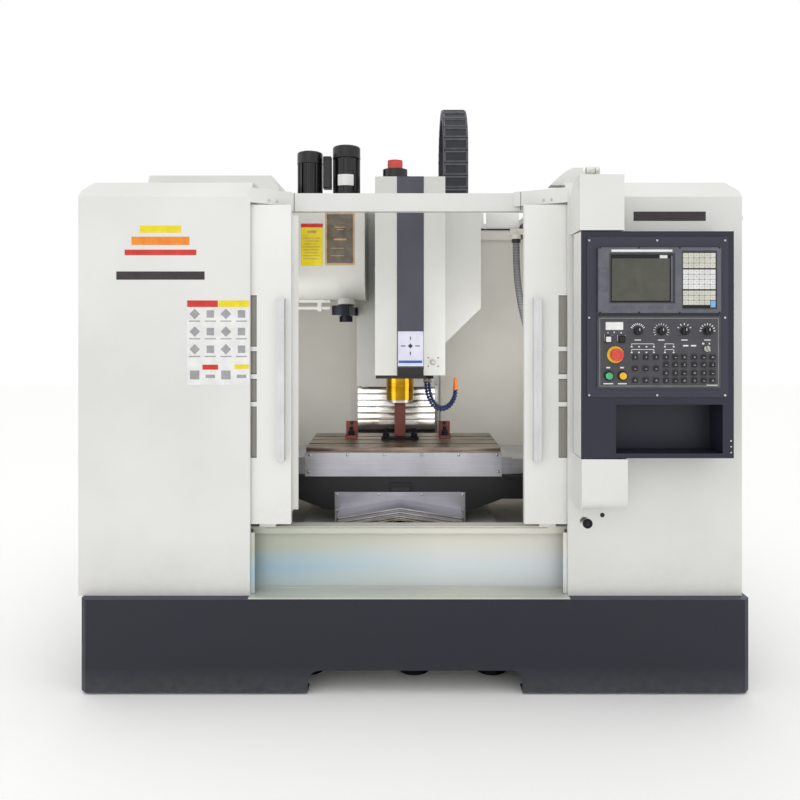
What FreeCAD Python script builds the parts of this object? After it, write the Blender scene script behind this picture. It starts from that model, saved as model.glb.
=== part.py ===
import FreeCAD, Part
import math
import os
import re

import Sketcher

# CNC vertical machining centre, millimetres. X to the right, Y to the back, Z up.
# The origin is the centre of the footprint of the base, on the floor.

doc = FreeCAD.newDocument("MachiningCenter")
sheet = doc.addObject("Spreadsheet::Sheet", "Sizes")
SIZES = {}
RULES = {}
NODES = []


def sizes(**values):
    """Driving dimensions: one cell and one alias each."""
    for name, value in values.items():
        row = len(SIZES) + 1
        sheet.set(f"A{row}", name)
        sheet.set(f"B{row}", str(value))
        sheet.setAlias(f"B{row}", name)
        SIZES[name] = value
    sheet.recompute()


def rules(**texts):
    """Places and widths that follow from the driving dimensions."""
    RULES.update(texts)


def bound(text):
    """The FreeCAD expression for a text of sizes and rules."""
    def swap(word):
        name = word.group()
        if name in RULES:
            return "(" + bound(RULES[name]) + ")"
        if name in SIZES:
            return "Sizes." + name
        return name
    return re.sub(r"[a-z_]\w*", swap, str(text))


def number(text):
    """The present value of a text of sizes and rules."""
    value = sheet.evalExpression(bound(text).replace("Sizes.", ""))
    return float(getattr(value, "Value", value))


def bind(obj, **texts):
    for key, text in texts.items():
        obj.setExpression(key.replace("__", "."), bound(text))


def place(obj, x, y, z):
    bind(obj, Placement__Base__x=x, Placement__Base__y=y, Placement__Base__z=z)
    return obj


def box(name, x, y, z):
    """A block between two places on each axis."""
    block = doc.addObject("Part::Box", name)
    bind(block, Length=f"({x[1]}) - ({x[0]})", Width=f"({y[1]}) - ({y[0]})", Height=f"({z[1]}) - ({z[0]})")
    return place(block, x[0], y[0], z[0])


TURNS = {
    "X": FreeCAD.Rotation(FreeCAD.Vector(0, 1, 0), 90),
    "Y": FreeCAD.Rotation(FreeCAD.Vector(1, 0, 0), -90),
    "Z": FreeCAD.Rotation(),
}


def start_of(axis, across, low):
    """The place where a round piece starts: its two places across the axis and one along it."""
    spots = {"X": (low, across[0], across[1]), "Y": (across[0], low, across[1]),
             "Z": (across[0], across[1], low)}
    return spots[axis]


def rod(name, axis, across, radius, low, high):
    """A cylinder along an axis, between two places on it."""
    bar = doc.addObject("Part::Cylinder", name)
    bar.Placement = FreeCAD.Placement(FreeCAD.Vector(), TURNS[axis])
    bind(bar, Radius=radius, Height=f"({high}) - ({low})")
    return place(bar, *start_of(axis, across, low))


def taper(name, axis, across, first, last, low, high):
    """A cone frustum along an axis."""
    cone = doc.addObject("Part::Cone", name)
    cone.Placement = FreeCAD.Placement(FreeCAD.Vector(), TURNS[axis])
    bind(cone, Radius1=first, Radius2=last, Height=f"({high}) - ({low})")
    return place(cone, *start_of(axis, across, low))


def ball(name, x, y, z, radius):
    sphere = doc.addObject("Part::Sphere", name)
    bind(sphere, Radius=radius)
    return place(sphere, x, y, z)


def plane_of(body, role):
    return [item for item in body.Origin.OriginFeatures if item.Role == role][0]


def prism(name, plane, points, low, high):
    """A body padded from a closed outline between two places on the axis across its plane."""
    body = doc.addObject("PartDesign::Body", name)
    sketch = body.newObject("Sketcher::SketchObject", name + "_outline")
    sketch.AttachmentSupport = [(plane_of(body, plane + "_Plane"), "")]
    sketch.MapMode = "FlatFace"
    spots = [(number(across), number(up)) for across, up in points]
    corners = [FreeCAD.Vector(across, up, 0) for across, up in spots]
    last = len(corners) - 1
    for index, corner in enumerate(corners):
        following = corners[0 if index == last else index + 1]
        sketch.addGeometry(Part.LineSegment(corner, following), False)
    for index in range(len(corners)):
        following = 0 if index == last else index + 1
        sketch.addConstraint(Sketcher.Constraint("Coincident", index, 2, following, 1))
    for index, (across, up) in enumerate(points):
        for kind, text, value in (("DistanceX", across, spots[index][0]), ("DistanceY", up, spots[index][1])):
            at = sketch.addConstraint(Sketcher.Constraint(kind, -1, 1, index, 1, value))
            sketch.setExpression(f"Constraints[{at}]", bound(text))
    pad = body.newObject("PartDesign::Pad", name + "_pad")
    pad.Profile = sketch
    bind(pad, Length=f"({high}) - ({low})")
    start = f"-({high})" if plane == "XZ" else low
    bind(sketch, AttachmentOffset__Base__z=start)
    body.Tip = pad
    return body


def fuse(name, parts):
    if len(parts) == 1:
        return parts[0]
    whole = doc.addObject("Part::MultiFuse", name)
    whole.Shapes = parts
    return whole


def cut(name, base, tools):
    """The base without the tools."""
    rest = doc.addObject("Part::Cut", name)
    rest.Base = base
    rest.Tool = fuse(name + "_tools", tools)
    return rest


def rounded(name, base, radius, test):
    """The base with the edges that pass the test rounded."""
    base.recompute(True)
    edges = [index + 1 for index, edge in enumerate(base.Shape.Edges) if test(edge)]
    soft = doc.addObject("Part::Fillet", name)
    soft.Base = base
    value = number(radius)
    soft.Edges = [(index, value, value) for index in edges]
    return soft


def along(edge, axis):
    """Whether an edge is straight and runs along an axis."""
    if len(edge.Vertexes) != 2 or not isinstance(edge.Curve, Part.Line):
        return False
    way = edge.Vertexes[1].Point - edge.Vertexes[0].Point
    return abs(way.normalize().dot(axis)) > 0.9999


def middle(edge):
    return edge.valueAt((edge.FirstParameter + edge.LastParameter) / 2)


def node(name, parts):
    """A finished sub-part, whose label is its file's name."""
    whole = parts if not isinstance(parts, list) else fuse(name + "_all", parts)
    whole.Label = name
    NODES.append(whole)
    return whole


# ---- main sizes ----
sizes(
    base_width=2400, base_depth=2000, base_height=340, base_lift=8, base_sheet=5, base_chamfer=22,
    cutout_width=768, cutout_height=87, cutout_round=45, ledge=40, skin=3, gap=2,
    cabinet_top=1848, opening_left=-598, opening_right=555, axis_x=-54,
    left_hang=20, right_inset=15, top_cut=36, slope_rise=62, cabinet_back=450, front_return=15,
    saddle_y=-381, saddle_deep=410, saddle_half=775, travel_left=339, travel_right=311,
    travel_front=110, travel_back=290, travel_up=450,
    table_x=-40, table_half=400, table_deep=400, table_top=815, table_thick=42,
    bed_half=400, bed_front=-840, bed_back=720, bed_floor=60, bed_top=500,
    mag_left=-640, mag_right=-210, mag_front=-364, mag_back=50, mag_low=1431, mag_high=1885,
    column_front=160, column_deep=560, column_top=1880, column_half=380, column_neck=185,
)
rules(
    left_out="-base_width/2 - left_hang", right_out="base_width/2 - right_inset",
    cabinet_front="-base_depth/2 + ledge", saddle_front="saddle_y - saddle_deep/2",
    saddle_back="saddle_y + saddle_deep/2", saddle_left="axis_x - saddle_half",
    saddle_right="axis_x + saddle_half", table_left="table_x - table_half",
    table_right="table_x + table_half", table_y="saddle_y - 9", table_front="table_y - table_deep/2",
    table_back="table_y + table_deep/2", slab_floor="table_top - table_thick",
    column_back="column_front + column_deep",
)


def ring_outline(half_x, half_y, bevel):
    """A rectangle about the origin with its two front corners bevelled."""
    return [
        (f"-({half_x}) + {bevel}", f"-({half_y})"), (f"{half_x} - {bevel}", f"-({half_y})"),
        (half_x, f"-({half_y}) + {bevel}"), (half_x, half_y), (f"-({half_x})", half_y),
        (f"-({half_x})", f"-({half_y}) + {bevel}"),
    ]


def base_skirt():
    """Sheet skirt with a deck that carries the cabinets, open round the bed, and a fork cut-out."""
    sizes(deck_hole_gap=6, flange_wide=60)
    outer = prism("skirt_outer", "XY", ring_outline("base_width/2", "base_depth/2", "base_chamfer"),
                  "base_lift", "base_height")
    inner = prism("skirt_inner", "XY",
                  ring_outline("base_width/2 - base_sheet", "base_depth/2 - base_sheet", "base_chamfer"),
                  "base_lift + base_sheet", "base_height - base_sheet")
    under = box("skirt_under", ("-base_width/2 + flange_wide", "base_width/2 - flange_wide"),
                ("-base_depth/2 + flange_wide", "base_depth/2 - flange_wide"), ("0", "base_lift*4"))
    deck = box("skirt_deck_hole", ("axis_x - bed_half - deck_hole_gap", "axis_x + bed_half + deck_hole_gap"),
               ("bed_front - deck_hole_gap", "bed_back + deck_hole_gap"), ("base_height/2", "base_height*2"))
    fork = box("skirt_fork", ("-cutout_width/2", "cutout_width/2"),
               ("-base_depth/2 - 10", "-base_depth/2 + flange_wide + 10"),
               ("-cutout_height", "cutout_height"))
    up = FreeCAD.Vector(0, 1, 0)
    fork = rounded("skirt_fork_round", fork, "cutout_round",
                   lambda edge: along(edge, up) and middle(edge).z > 0)
    node("base_skirt", cut("skirt", outer, [inner, under, deck, fork]))


def bed_casting():
    """Cast bed: a ribbed block with a trough for the feed screw between its two way beds."""
    sizes(rib=80, bed_wall=100, bed_roof=70, trough_half=100, trough_floor=425, way_y=190)
    block = box("bed_block", ("axis_x - bed_half", "axis_x + bed_half"), ("bed_front", "bed_back"),
                ("bed_floor", "bed_top"))
    tools = [box("bed_trough", ("axis_x - trough_half", "axis_x + trough_half"),
                 ("bed_front - 1", "bed_back + 1"),
                 ("trough_floor", "bed_top + 1"))]
    columns = (("axis_x - bed_half + bed_wall", "-rib/2"), ("rib/2", "axis_x + bed_half - bed_wall"))
    rows = (("bed_front + bed_wall", "-rib/2"), ("rib/2", "bed_back - bed_wall"))
    for across, wide in enumerate(columns):
        for back, deep in enumerate(rows):
            tools.append(box(f"bed_cell_{across}_{back}", wide, deep, ("0", "trough_floor - bed_roof")))
    node("bed_casting", cut("bed", block, tools))


def leveling_feet():
    """Nine pads with screws under the bed's ribs, and four pads under the corners of the skirt."""
    sizes(pad_radius=60, pad_thick=18, screw_radius=14, nut_radius=26, nut_top=44, corner_inset=30,
          corner_pad=24)
    places_x = ("axis_x - bed_half + bed_wall/2", "0", "axis_x + bed_half - bed_wall/2")
    places_y = ("bed_front + bed_wall/2", "0", "bed_back - bed_wall/2")
    parts = []
    for across, x in enumerate(places_x):
        for back, y in enumerate(places_y):
            tag = f"{across}_{back}"
            parts.append(rod("foot_pad_" + tag, "Z", (x, y), "pad_radius", "0", "pad_thick"))
            parts.append(rod("foot_screw_" + tag, "Z", (x, y), "screw_radius", "pad_thick", "bed_floor"))
            parts.append(rod("foot_nut_" + tag, "Z", (x, y), "nut_radius", "nut_top - 18", "nut_top"))
    for side in ("-1", "1"):
        for end in ("-1", "1"):
            x = f"({side})*(base_width/2 - base_chamfer - corner_inset)"
            y = f"({end})*(base_depth/2 - base_chamfer - corner_inset)"
            tag = ("left" if side == "-1" else "right") + ("_front" if end == "-1" else "_back")
            parts.append(rod("corner_pad_" + tag, "Z", (x, y), "corner_pad", "0", "base_lift"))
    node("leveling_feet", parts)


def guide_rails():
    """Ground rails of the Y axis on the bed and of the Z axis on the column."""
    sizes(rail_half=17, rail_tall=30, y_rail_front=-800, z_rail_x=140, z_rail_proud=25, z_rail_low=650)
    parts = []
    for side in ("-", "+"):
        tag = "left" if side == "-" else "right"
        x = f"axis_x {side} way_y"
        parts.append(box("y_rail_" + tag, (f"{x} - rail_half", f"{x} + rail_half"),
                         ("y_rail_front", "column_front + 190"), ("bed_top", "bed_top + rail_tall")))
        x = f"axis_x {side} z_rail_x"
        parts.append(box("z_rail_" + tag, (f"{x} - rail_half", f"{x} + rail_half"),
                         ("column_front - z_rail_proud", "column_front"), ("z_rail_low", "column_top - 10")))
    node("guide_rails", parts)


def column_casting():
    """Cast column with an arch for the saddle's tail, a recess for the Z screw and the chain's trough."""
    sizes(arch_half=270, arch_top=645, arch_deep=440, recess_half=80, recess_deep=130, knee_low=760,
          knee_high=1400,
          core_half=120, lift_hole=12, chain_left=149, chain_wide=115, chain_thick=45, chain_bend=220,
          chain_front=-174, trough_gap=8, trough_low=1450, trough_high=1860, lift_x=120, lift_front=560)
    rules(chain_right="chain_left + chain_wide", chain_rear="chain_front + 2*chain_bend",
          trough_left="chain_left - trough_gap", trough_right="chain_right + trough_gap",
          trough_front="chain_rear - trough_gap", trough_back="chain_rear + chain_thick + trough_gap")
    outline = [
        ("axis_x - column_half", "bed_top"), ("axis_x + column_half", "bed_top"),
               ("axis_x + column_half", "knee_low"),
        ("axis_x + column_neck", "knee_high"), ("axis_x + column_neck", "column_top"),
        ("axis_x - column_neck", "column_top"), ("axis_x - column_neck", "knee_high"),
        ("axis_x - column_half", "knee_low"),
    ]
    block = prism("column_block", "XZ", outline, "column_front", "column_back")
    arch = box("column_arch", ("axis_x - arch_half", "axis_x + arch_half"),
               ("column_front - 1", "column_front + arch_deep"), ("bed_top - 1", "arch_top"))
    recess = box("column_recess", ("axis_x - recess_half", "axis_x + recess_half"),
                 ("column_front - 1", "column_front + recess_deep"), ("arch_top - 1", "column_top - 60"))
    core = box("column_core", ("axis_x - core_half", "axis_x + core_half"),
               ("column_front + recess_deep + 50", "column_back + 1"), ("arch_top + 100", "column_top - 120"))
    tools = [arch, recess, core]
    for side in ("-", "+"):
        for end in ("-", "+"):
            tag = ("left" if side == "-" else "right") + ("_front" if end == "-" else "_back")
            tools.append(rod("lift_hole_" + tag, "Z", (f"axis_x {side} lift_x", f"lift_front {end} 60"),
                             "lift_hole", "column_top - 50", "column_top + 1"))
    column = cut("column", block, tools)
    shell = box("trough_shell", ("trough_left - skin", "trough_right + skin"),
                ("trough_front - skin", "trough_back + skin"), ("trough_low - skin", "trough_high"))
    hollow = box("trough_hollow", ("trough_left", "trough_right"), ("trough_front", "trough_back"),
                 ("trough_low", "trough_high + 1"))
    trough = cut("chain_trough", shell, [hollow])
    bracket = box("trough_bracket", ("axis_x + column_neck", "trough_left - skin + 1"),
                  ("trough_front", "trough_back"), ("trough_low + 10", "trough_high - 40"))
    bracket_tools = cut("trough_bracket_cut", bracket, [box("bracket_clear",
                                                            ("trough_left - skin", "trough_right"),
                        ("trough_front - 9", "trough_back + 9"), ("trough_low - 9", "trough_high"))])
    node("column_casting", [column, trough, bracket_tools])


def cabinet_shell(tag, outer_x, inner_x, way):
    """Folded cabinet over one end of the base: front, outer side, top and back, open inside and below.

    way is 1 where X grows from the outer wall towards the work opening, and -1 on the other side.
    """
    sign = "+" if way > 0 else "-"
    back = "-" if way > 0 else "+"
    outline = [
        (outer_x, "base_height"), (inner_x, "base_height"), (inner_x, "cabinet_top"),
        (f"{outer_x} {sign} top_cut", "cabinet_top"), (outer_x, "cabinet_top - top_cut"),
    ]
    inside = [
        (f"{outer_x} {sign} skin", "base_height - 1"), (f"{inner_x} {back} skin", "base_height - 1"),
        (f"{inner_x} {back} skin", "cabinet_top - skin"),
              (f"{outer_x} {sign} top_cut {sign} skin/2", "cabinet_top - skin"),
        (f"{outer_x} {sign} skin", "cabinet_top - top_cut - skin/2"),
    ]
    outer = prism(tag + "_outer", "XZ", outline, "cabinet_front", "cabinet_back")
    inner = prism(tag + "_inner", "XZ", inside, "cabinet_front + skin", "cabinet_back - skin")
    low, high = ("left_out - 5", "right_out + 5")
    slope = [("cabinet_front - 1", "cabinet_top - slope_rise - 1"),
             ("cabinet_front + slope_rise + 1", "cabinet_top + 1"),
             ("cabinet_front - 1", "cabinet_top + 1")]
    wedge = prism(tag + "_slope", "YZ", slope, low, high)
    near = (f"{inner_x} - skin - 1", f"{inner_x} + 1") if way > 0 else (f"{inner_x} - 1",
                                                                        f"{inner_x} + skin + 1")
    side = box(tag + "_side", near, ("cabinet_front + front_return", "cabinet_back - 60"),
               ("base_height - 1", "cabinet_top - 28"))
    shell = cut(tag + "_folded", outer, [inner, wedge, side])
    lid_outline = [("cabinet_front", "cabinet_top - slope_rise"),
                   ("cabinet_front + skin", "cabinet_top - slope_rise"),
                   ("cabinet_front + slope_rise + skin", "cabinet_top"),
                   ("cabinet_front + slope_rise", "cabinet_top")]
    ends = (outer_x, inner_x) if way > 0 else (inner_x, outer_x)
    lid = prism(tag + "_lid", "YZ", lid_outline, *ends)
    corner_outline = [(f"{outer_x} {back} 1", "cabinet_top - top_cut - 1"),
                      (f"{outer_x} {sign} (top_cut + 1)", "cabinet_top + 1"),
                      (f"{outer_x} {back} 1", "cabinet_top + 1")]
    corner = prism(tag + "_corner", "XZ", corner_outline, "cabinet_front - 1",
                   "cabinet_front + slope_rise + skin + 1")
    return [shell, cut(tag + "_lid_cut", lid, [corner])]


def hood(tag, points, inside):
    """Raised roof hood on a cabinet, a folded shell open below."""
    sizes(**{tag + "_front": -400, tag + "_deep": 600})
    front = tag + "_front"
    deep = tag + "_deep"
    outer = prism(tag + "_outer", "XZ", points, front, f"{front} + {deep}")
    inner = prism(tag + "_inner", "XZ", inside, f"{front} + skin", f"{front} + {deep} - skin")
    return cut(tag + "_folded", outer, [inner])


def left_cabinet():
    sizes(hood_top=1969, hood_shoulder=1913, hood_inset=52, hood_lean=22, hood_edge=-614, hood_side=-581,
          mag_room=5)
    points = [
        ("left_out + hood_inset", "cabinet_top"), ("hood_side", "cabinet_top"),
              ("hood_side", "hood_shoulder"),
        ("hood_edge", "hood_top"), ("left_out + hood_inset + hood_lean", "hood_top"),
    ]
    inside = [
        ("left_out + hood_inset + skin", "cabinet_top - 1"), ("hood_side - skin", "cabinet_top - 1"),
        ("hood_side - skin", "hood_shoulder - skin/2"), ("hood_edge - skin/2", "hood_top - skin"),
        ("left_out + hood_inset + hood_lean + skin", "hood_top - skin"),
    ]
    parts = cabinet_shell("left_cab", "left_out", "opening_left", 1)
    notch = box("magazine_notch", ("mag_left - mag_room", "hood_side + 1"),
                ("mag_front - mag_room", "mag_back + mag_room"),
                ("cabinet_top - 40", "mag_high + mag_room"))
    node("left_cabinet", cut("left_cab_cut", fuse("left_cab_whole",
                                                  parts + [hood("left_hood", points, inside)]), [notch]))


def right_cabinet():
    """The right cabinet, with the cable elbow on its roof and a gland."""
    sizes(elbow_left=504, elbow_right=626, elbow_top=1904, elbow_front=-895, elbow_deep=60, gland_radius=22)
    parts = cabinet_shell("right_cab", "right_out", "opening_right", -1)
    points = [
        ("elbow_left", "cabinet_top - 9"), ("opening_right", "cabinet_top - 9"),
              ("opening_right", "cabinet_top"),
        ("elbow_right", "cabinet_top"), ("elbow_right", "elbow_top"), ("elbow_right - 36", "elbow_top"),
        ("elbow_right - 66", "elbow_top - 14"), ("elbow_right - 95", "elbow_top - 38"),
    ]
    parts.append(prism("cable_elbow", "XZ", points, "elbow_front", "elbow_front + elbow_deep"))
    middle_y = "elbow_front + elbow_deep/2"
    parts.append(rod("elbow_gland", "X", (middle_y, "elbow_top - 28"), "gland_radius", "elbow_right",
                     "elbow_right + 22"))
    parts.append(rod("side_fitting", "X", ("cabinet_front + 30", "cabinet_top - 136"), "gland_radius/2",
                     "right_out", "right_out + 12"))
    node("right_cabinet", parts)


def control_arms():
    """Two arms that carry the control box between hinge pins, from the right cabinet."""
    sizes(control_left=568, control_wide=525, control_back=-966, control_deep=137, control_low=864,
          control_high=1644, pivot_x=596, pivot_y=-995, pin_radius=12, pin_deep=22, arm_gap=4,
          arm_front=-1103,
          upper_left=564, upper_right=717, upper_top=1840, lower_left=571, lower_right=729, lower_floor=680,
          lower_round=42, tag_x=590, tag_radius=17, tag_z=636)
    upper = box("upper_arm", ("upper_left", "upper_right"), ("arm_front", "cabinet_front"),
                ("control_high + arm_gap", "upper_top"))
    top_cut = prism("upper_arm_slope", "YZ", [("cabinet_front - 60", "upper_top + 1"),
                                              ("cabinet_front + 1", "upper_top + 1"),
                    ("cabinet_front + 1", "upper_top - slope_rise + 8")], "upper_left - 1", "upper_right + 1")
    side = FreeCAD.Vector(1, 0, 0)
    front = number("arm_front")
    lower = box("lower_arm", ("lower_left", "lower_right"), ("arm_front", "cabinet_front"),
                ("lower_floor", "control_low - arm_gap"))
    floor = number("lower_floor")
    lower = rounded("lower_arm_round", lower, "lower_round",
                    lambda edge: along(edge,
                                       side) and abs(middle(edge).y - front) < 1 and abs(middle(edge).z - floor) < 1)
    pivot = ("pivot_x", "pivot_y")
    pins = [rod("upper_pin", "Z", pivot, "pin_radius", "control_high - pin_deep", "control_high + arm_gap"),
            rod("lower_pin", "Z", pivot, "pin_radius", "control_low - arm_gap", "control_low + pin_deep")]
    tag = [rod("key_shank", "Z", ("tag_x", "arm_front + 40"), "3", "tag_z + tag_radius - 1", "lower_floor"),
           rod("key_tag", "Y", ("tag_x", "tag_z"), "tag_radius", "arm_front + 38", "arm_front + 42")]
    node("control_arms", [cut("upper_arm_cut", upper, [top_cut]), lower] + pins + tag)


def lintel():
    """Top rail of the tub with the two angled fascia sheets that run to the cabinets."""
    sizes(lintel_left=-460, lintel_right=374, lintel_front=-854, lintel_deep=40, lintel_low=1748,
          lintel_high=1816,
          fascia_low=1766, fascia_high=1820, tub_left=-1029, tub_right=921)
    parts = [box("lintel_beam", ("tub_left", "tub_right"), ("lintel_front", "lintel_front + lintel_deep"),
                 ("lintel_low", "lintel_high"))]
    for tag, edge, end, sign in (("left", "opening_left", "lintel_left", "+"),
                                 ("right", "opening_right", "lintel_right", "-")):
        points = [(edge, "cabinet_front"), (f"{edge} {sign} skin", "cabinet_front"),
                  (end, "lintel_front - skin"),
                  (end, "lintel_front"), (f"{end} {'-' if sign == '+' else '+'} 4", "lintel_front")]
        parts.append(prism("fascia_" + tag, "XY", points, "fascia_low", "fascia_high"))
    node("lintel", parts)


def apron():
    """Stainless apron under the doors, with the rolled lip that the doors run on."""
    sizes(apron_front=-881, lip_low=566, lip_high=576, lip_front=-905, tub_front=-850)
    sheet_piece = box("apron_sheet", ("opening_left", "opening_right"), ("apron_front", "apron_front + skin"),
                      ("base_height", "lip_low"))
    lip = box("apron_lip", ("tub_left - 80", "tub_right + 130"), ("lip_front", "tub_front"),
              ("lip_low", "lip_high"))
    hook = box("apron_hook", ("opening_left + 1", "opening_right - 1"), ("lip_front", "lip_front + skin"),
               ("lip_low - 16", "lip_low"))
    node("apron", [sheet_piece, lip, hook])


def splash_tub():
    """Sheet tub round the work area: floor, side and back walls, door jambs, and the conduit's bracket."""
    sizes(tub_floor=484, tub_top=1748, tub_back=150, jamb_left=-480, jamb_right=430, back_slot=205,
          cord_x=450, cord_y=-414, cord_top=1690, cord_radius=15, fitting_radius=21, cord_run=340)
    floor = box("tub_floor", ("tub_left", "tub_right"), ("tub_front", "tub_back"),
                ("tub_floor - skin", "tub_floor"))
    hole = box("tub_floor_hole", ("axis_x - bed_half - gap", "axis_x + bed_half + gap"),
               ("tub_front - 1", "tub_back + 1"), ("tub_floor - 9", "tub_floor + 9"))
    parts = [cut("tub_floor_cut", floor, [hole])]
    for tag, low, high in (("left", "tub_left", "tub_left + skin"),
                           ("right", "tub_right - skin", "tub_right")):
        parts.append(box("tub_wall_" + tag, (low, high), ("tub_front", "tub_back"),
                         ("base_height", "tub_top")))
    for tag, low, high in (("left", "tub_left", "jamb_left"), ("right", "jamb_right", "tub_right")):
        parts.append(box("tub_jamb_" + tag, (low, high), ("tub_front", "tub_front + skin"),
                         ("base_height", "tub_top")))
    parts.append(box("tub_sill", ("tub_left", "tub_right"), ("tub_front", "tub_front + skin"),
                     ("base_height", "lip_low")))
    back = box("tub_back", ("tub_left", "tub_right"), ("tub_back - skin", "tub_back"),
               ("base_height", "tub_top"))
    slot = box("tub_slot", ("axis_x - back_slot", "axis_x + back_slot"), ("tub_back - 9", "tub_back + 9"),
               ("arch_top - 1", "tub_top + 1"))
    low_slot = box("tub_low_slot", ("axis_x - bed_half - gap", "axis_x + bed_half + gap"),
                   ("tub_back - 9", "tub_back + 9"),
                   ("base_height - 1", "bed_top + gap"))
    arch = box("tub_arch", ("axis_x - arch_half", "axis_x + arch_half"), ("tub_back - 9", "tub_back + 9"),
               ("bed_top", "arch_top"))
    parts.append(cut("tub_back_cut", back, [slot, low_slot, arch]))
    parts.append(box("cord_bracket", ("cord_x - 25", "tub_right - skin"), ("cord_y - 12", "cord_y + 12"),
                     ("cord_top + 20", "cord_top + 44")))
    parts.append(rod("cord_fitting", "Z", ("cord_x", "cord_y"), "fitting_radius", "cord_top",
                     "cord_top + 20"))
    parts.append(rod("cord_socket", "Z", ("cord_x + cord_run", "cord_y"), "fitting_radius", "tub_floor",
                     "tub_floor + 18"))
    node("splash_tub", parts)


HINGE_PLACES = ("bay_low + 200", "bay_low + 780", "bay_low + 1360")


def electrical_cabinet():
    """Open-backed cabinet behind the column, closed by its door."""
    sizes(bay_left=-650, bay_right=550, bay_low=340, bay_high=1900, bay_rear=985, bay_lip=30, hinge_off=9,
          barrel_r=8,
          barrel_long=30, hinge_pin=4)
    rules(hinge_x="bay_left - hinge_off", hinge_y="bay_rear + hinge_off")
    outer = box("bay_outer", ("bay_left", "bay_right"), ("column_back", "bay_rear"), ("bay_low", "bay_high"))
    inner = box("bay_inner", ("bay_left + skin", "bay_right - skin"),
                ("column_back + skin", "bay_rear - skin"),
                ("bay_low + skin", "bay_high - skin"))
    mouth = box("bay_mouth", ("bay_left + bay_lip", "bay_right - bay_lip"), ("bay_rear - 9", "bay_rear + 9"),
                ("bay_low + bay_lip", "bay_high - bay_lip"))
    board = box("bay_board", ("bay_left + 90", "bay_right - 90"), ("column_back + skin", "column_back + 12"),
                ("bay_low + 120", "bay_high - 120"))
    parts = [cut("bay", outer, [inner, mouth]), board]
    for row in range(3):
        for across in range(4):
            x = f"bay_left + 130 + {across}*240"
            z = f"bay_low + 200 + {row}*420"
            parts.append(box(f"bay_unit_{row}_{across}", (x, f"{x} + 190"),
                             ("column_back + 12", "column_back + 90"),
                             (z, f"{z} + 300")))
    for index, z in enumerate(HINGE_PLACES):
        spot = ("hinge_x", "hinge_y")
        parts.append(rod(f"bay_barrel_{index}", "Z", spot, "barrel_r", f"{z} - barrel_long", z))
        parts.append(rod(f"bay_pin_{index}", "Z", spot, "hinge_pin", z, f"{z} + barrel_long"))
        parts.append(box(f"bay_lug_{index}", ("hinge_x", "bay_left"), ("hinge_y - barrel_r", "hinge_y - 4"),
                         (f"{z} - barrel_long", z)))
        parts.append(box(f"bay_lug_root_{index}", ("bay_left - 4", "bay_left"),
                         ("bay_rear - 40", "hinge_y - 4"),
                         (f"{z} - barrel_long", z)))
    node("electrical_cabinet", parts)


def magazine_cover():
    """Cover of the tool magazine, rounded below, with a pull rod and a bar under it."""
    sizes(mag_round=110)
    side = FreeCAD.Vector(1, 0, 0)
    outer = box("mag_outer", ("mag_left", "mag_right"), ("mag_front", "mag_back"), ("mag_low", "mag_high"))
    front = number("mag_front")
    low = number("mag_low")
    outer = rounded("mag_round_outer", outer, "mag_round", lambda edge: along(edge, side)
                    and abs(middle(edge).y - front) < 1 and abs(middle(edge).z - low) < 1)
    inner = box("mag_inner", ("mag_left + skin", "mag_right - skin"), ("mag_front + skin", "mag_back - skin"),
                ("mag_low + skin", "mag_high - skin"))
    inner = rounded("mag_round_inner", inner, "mag_round - skin", lambda edge: along(edge, side)
                    and abs(middle(edge).y - front) < 6 and abs(middle(edge).z - low) < 6)
    sizes(hub_x=-300, hub_y=-250, hub_radius=38)
    hole = rod("mag_hub_hole", "Z", ("hub_x", "hub_y"), "hub_radius + 5", "mag_low - 9", "mag_low + 200")
    window = box("mag_window", ("mag_left + 40", "mag_left + 100"), ("-180", "-120"),
                 ("mag_low - 9", "mag_low + 20"))
    shell = cut("mag_shell", outer, [inner, hole, window])
    sizes(disc_x=-500, disc_y=-150, disc_z=1655, axle_r=20, axle_fit=0.05)
    seat = rod("disc_seat", "X", ("disc_y", "disc_z"), "axle_r + 14", "mag_left + skin",
               "mag_left + skin + 24")
    seat_bore = rod("disc_seat_bore", "X", ("disc_y", "disc_z"), "axle_r + axle_fit",
                    "mag_left + skin + 1", "mag_left + skin + 25")
    wing = box("mag_wing", ("mag_left + 40", "mag_right - 80"), ("mag_back", "tub_back - skin"),
               ("mag_low + 40", "mag_low + 60"))
    node("magazine_cover", [shell, wing, cut("disc_seat_cut", seat, [seat_bore])])


def atc_cam_box():
    """Cam box of the tool changer, inside the magazine's cover, with the bearing of the arm's shaft."""
    sizes(cam_left=-400, cam_right=-220, cam_front=-335, cam_back=-165, shaft_radius=22, pull_radius=9,
          pull_z=1395, pull_left=-600, pull_right=-375, pull_y=-200)
    block = box("cam_block", ("cam_left", "cam_right"), ("cam_front", "cam_back"),
                ("mag_low + mag_round", "mag_high - skin"))
    nose = rod("cam_nose", "Z", ("hub_x", "hub_y"), "hub_radius", "mag_low - 20", "mag_low + mag_round")
    bore = rod("cam_bore", "Z", ("hub_x", "hub_y"), "shaft_radius + 0.05", "mag_low - 30", "mag_high - 60")
    pull = rod("pull_rod", "X", ("pull_y", "pull_z"), "pull_radius", "pull_left", "pull_right")
    bar = box("pull_bar", ("pull_left", "pull_right"), ("pull_y - 14", "pull_y + 14"),
              ("mag_low - 12", "mag_low"))
    lugs = [box("pull_lug_" + tag, (low, f"{low} + 20"), ("pull_y - 14", "pull_y + 14"),
                ("pull_z - 16", "mag_low - 12"))
            for tag, low in (("left", "pull_left + 10"), ("right", "pull_right - 60"))]
    node("atc_cam_box", [cut("cam", fuse("cam_whole", [block, nose]), [bore]), pull, bar] + lugs)


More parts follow.
